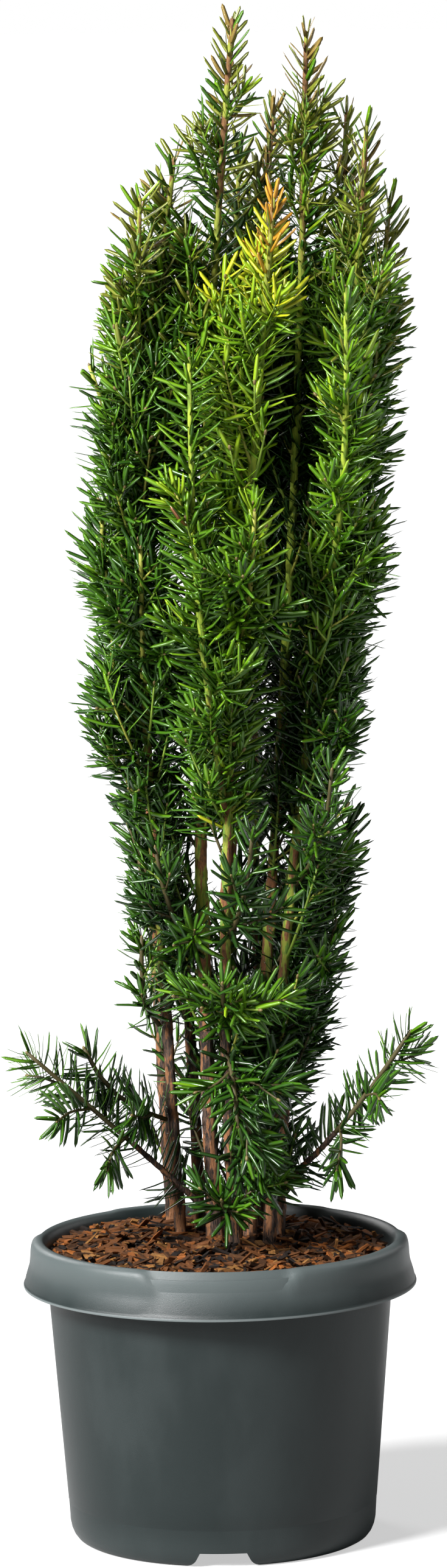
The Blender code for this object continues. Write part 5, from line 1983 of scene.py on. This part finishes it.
class YEW_OT_make_pot(bpy.types.Operator):
    """The round nursery pot with its hanging skirt, notched foot and drain holes"""

    bl_idname = "yew.make_pot"
    bl_label = "Pot"

    def execute(self, context):
        settings = context.scene.yew_pot
        bm = bmesh.new()
        verts = [bm.verts.new((radius, 0.0, height)) for radius, height in pot_profile()]
        edges = [bm.edges.new(pair) for pair in zip(verts, verts[1:])]
        bmesh.ops.spin(
            bm, geom=verts + edges, cent=(0, 0, 0), axis=(0, 0, 1), angle=2 * math.pi,
            steps=settings.steps, use_merge=True,
        )
        bmesh.ops.remove_doubles(bm, verts=bm.verts, dist=0.00002)
        shape_skirt(bm, settings.swoop)
        pot = object_from(bm, "nursery_pot")
        cutters = bmesh.new()
        for index in range(NOTCH_COUNT):
            add_notch(cutters, -math.pi / 2 + index * 2 * math.pi / NOTCH_COUNT)
        for index in range(DRAIN_COUNT):
            azimuth = math.radians(30) + index * 2 * math.pi / DRAIN_COUNT
            outward = Matrix.Translation((DRAIN_CIRCLE, 0.0, FLOOR_TOP))
            bmesh.ops.create_cone(
                cutters, cap_ends=True, segments=32, radius1=DRAIN_RADIUS, radius2=DRAIN_RADIUS,
                depth=0.01, matrix=Matrix.Rotation(azimuth, 4, "Z") @ outward,
            )
        cutter = object_from(cutters, "pot_cutters")
        boolean = pot.modifiers.new("cut", "BOOLEAN")
        boolean.operation = "DIFFERENCE"
        boolean.object = cutter
        boolean.solver = "EXACT"
        depsgraph = context.evaluated_depsgraph_get()
        cut = pot.evaluated_get(depsgraph)
        mesh = bpy.data.meshes.new_from_object(cut, depsgraph=depsgraph)
        pot.modifiers.clear()
        pot.data = mesh
        bpy.data.objects.remove(cutter, do_unlink=True)
        finish(pot, [pot_material(settings)], ["pot"], angle=40)
        return {"FINISHED"}


# The stage


def hang_light(item, heading):
    """Put a light in the scene, turned along a heading."""
    item.rotation_euler = Vector(heading).to_track_quat("-Z", "Y").to_euler()
    bpy.context.scene.collection.objects.link(item)


def area_light(name, place, target, size, power):
    """A soft rectangular light that points at a target."""
    data = bpy.data.lights.new(name, "AREA")
    data.shape = "RECTANGLE"
    data.size, data.size_y = size
    data.energy = power
    item = bpy.data.objects.new(name, data)
    item.location = place
    hang_light(item, Vector(target) - Vector(place))


def seen_by_camera(tree):
    """Whether a ray comes straight from the camera."""
    return add(tree, "ShaderNodeLightPath").outputs["Is Camera Ray"]


def studio_floor(settings):
    """A wide pale floor, which looks a little brighter than it lights."""
    bm = bmesh.new()
    bmesh.ops.create_circle(bm, cap_ends=True, radius=FLOOR_RADIUS, segments=96)
    floor = object_from(bm, "floor")
    for polygon in floor.data.polygons:
        if polygon.normal.z < 0:
            polygon.flip()
    pale = plain_material("floor", settings.floor_colour, 0.9, 0.1)
    tree = pale.node_tree
    shader = tree.nodes["Principled BSDF"]
    glow = mixed(tree, seen_by_camera(tree), (0.0, 0.0, 0.0), FLOOR_GLOW)
    tree.links.new(glow, shader.inputs["Emission Color"])
    shader.inputs["Emission Strength"].default_value = 1.0
    floor.data.materials.append(pale)


def studio_world(strength):
    """A white surrounding that is seen in full and lights the plant faintly."""
    world = bpy.data.worlds.new("studio")
    world.use_nodes = True
    tree = world.node_tree
    background = tree.nodes["Background"]
    background.inputs["Color"].default_value = (1.0, 1.0, 1.0, 1.0)
    glow = mask(tree, seen_by_camera(tree), 0.0, 1.0, AROUND_LIGHT * strength, 1.0)
    tree.links.new(glow, background.inputs["Strength"])
    return world


class YEW_OT_set_stage(bpy.types.Operator):
    """Camera, plain pale floor and soft studio light"""

    bl_idname = "yew.set_stage"
    bl_label = "Stage"

    def execute(self, context):
        settings = context.scene.yew_stage
        scene = context.scene
        studio_floor(settings)
        scene.world = studio_world(settings.light)
        scene.view_settings.view_transform = "Standard"
        sun = bpy.data.lights.new("sky", "SUN")
        sun.energy = SKY_STRENGTH * settings.light
        sun.angle = SKY_SOFTNESS
        hang_light(bpy.data.objects.new("sky", sun), SKY_HEADING)
        for name, place, target, size, power in LIGHTS:
            area_light(name, place, target, size, power * settings.light)

        data = bpy.data.cameras.new("camera")
        data.lens = settings.lens
        data.sensor_width = 36.0
        data.clip_end = CAMERA_FAR
        camera = bpy.data.objects.new("camera", data)
        tilt = Matrix.Rotation(math.pi / 2 - CAMERA_DIP, 4, "X")
        roll = Matrix.Rotation(CAMERA_ROLL, 4, "Z")
        camera.matrix_world = Matrix.Translation(CAMERA_PLACE) @ (tilt @ roll)
        scene.collection.objects.link(camera)
        scene.camera = camera
        return {"FINISHED"}


# Panel and start


class YEW_PT_panel(bpy.types.Panel):
    """Sizes, colours and pieces of the yew"""

    bl_idname = "YEW_PT_panel"
    bl_label = "Columnar yew"
    bl_space_type = "VIEW_3D"
    bl_region_type = "UI"
    bl_category = "Yew"

    def draw(self, context):
        layout = self.layout
        for group in (getattr(context.scene, name) for name in GROUPS):
            box = layout.box()
            for name in group.bl_rna.properties.keys():
                if name not in ("rna_type", "name"):
                    box.prop(group, name)
        for operator in OPERATORS:
            layout.operator(operator.bl_idname)


GROUPS = {
    "yew_pot": YewPotSettings,
    "yew_mulch": YewMulchSettings,
    "yew_bark": YewBarkSettings,
    "yew_needles": YewNeedleSettings,
    "yew_stage": YewStageSettings,
}
OPERATORS = (
    YEW_OT_set_stage,
    YEW_OT_make_pot,
    YEW_OT_finish_soil,
    YEW_OT_make_mulch,
    YEW_OT_make_stems,
    YEW_OT_make_boughs,
    YEW_OT_make_twigs,
    YEW_OT_make_needles,
)


def register():
    """Register the settings, operators and panel."""
    for name, group in GROUPS.items():
        bpy.utils.register_class(group)
        setattr(bpy.types.Scene, name, PointerProperty(type=group))
    for operator in OPERATORS:
        bpy.utils.register_class(operator)
    bpy.utils.register_class(YEW_PT_panel)


def unregister():
    """Take the settings, operators and panel away again."""
    bpy.utils.unregister_class(YEW_PT_panel)
    for operator in reversed(OPERATORS):
        bpy.utils.unregister_class(operator)
    for name, group in reversed(GROUPS.items()):
        delattr(bpy.types.Scene, name)
        bpy.utils.unregister_class(group)


def main():
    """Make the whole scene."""
    register()
    bpy.ops.yew.set_stage()
    bpy.ops.yew.make_pot()
    bpy.ops.yew.finish_soil()
    bpy.ops.yew.make_mulch()
    bpy.ops.yew.make_stems()
    bpy.ops.yew.make_boughs()
    bpy.ops.yew.make_twigs()
    bpy.ops.yew.make_needles()


if __name__ == "__main__":
    main()
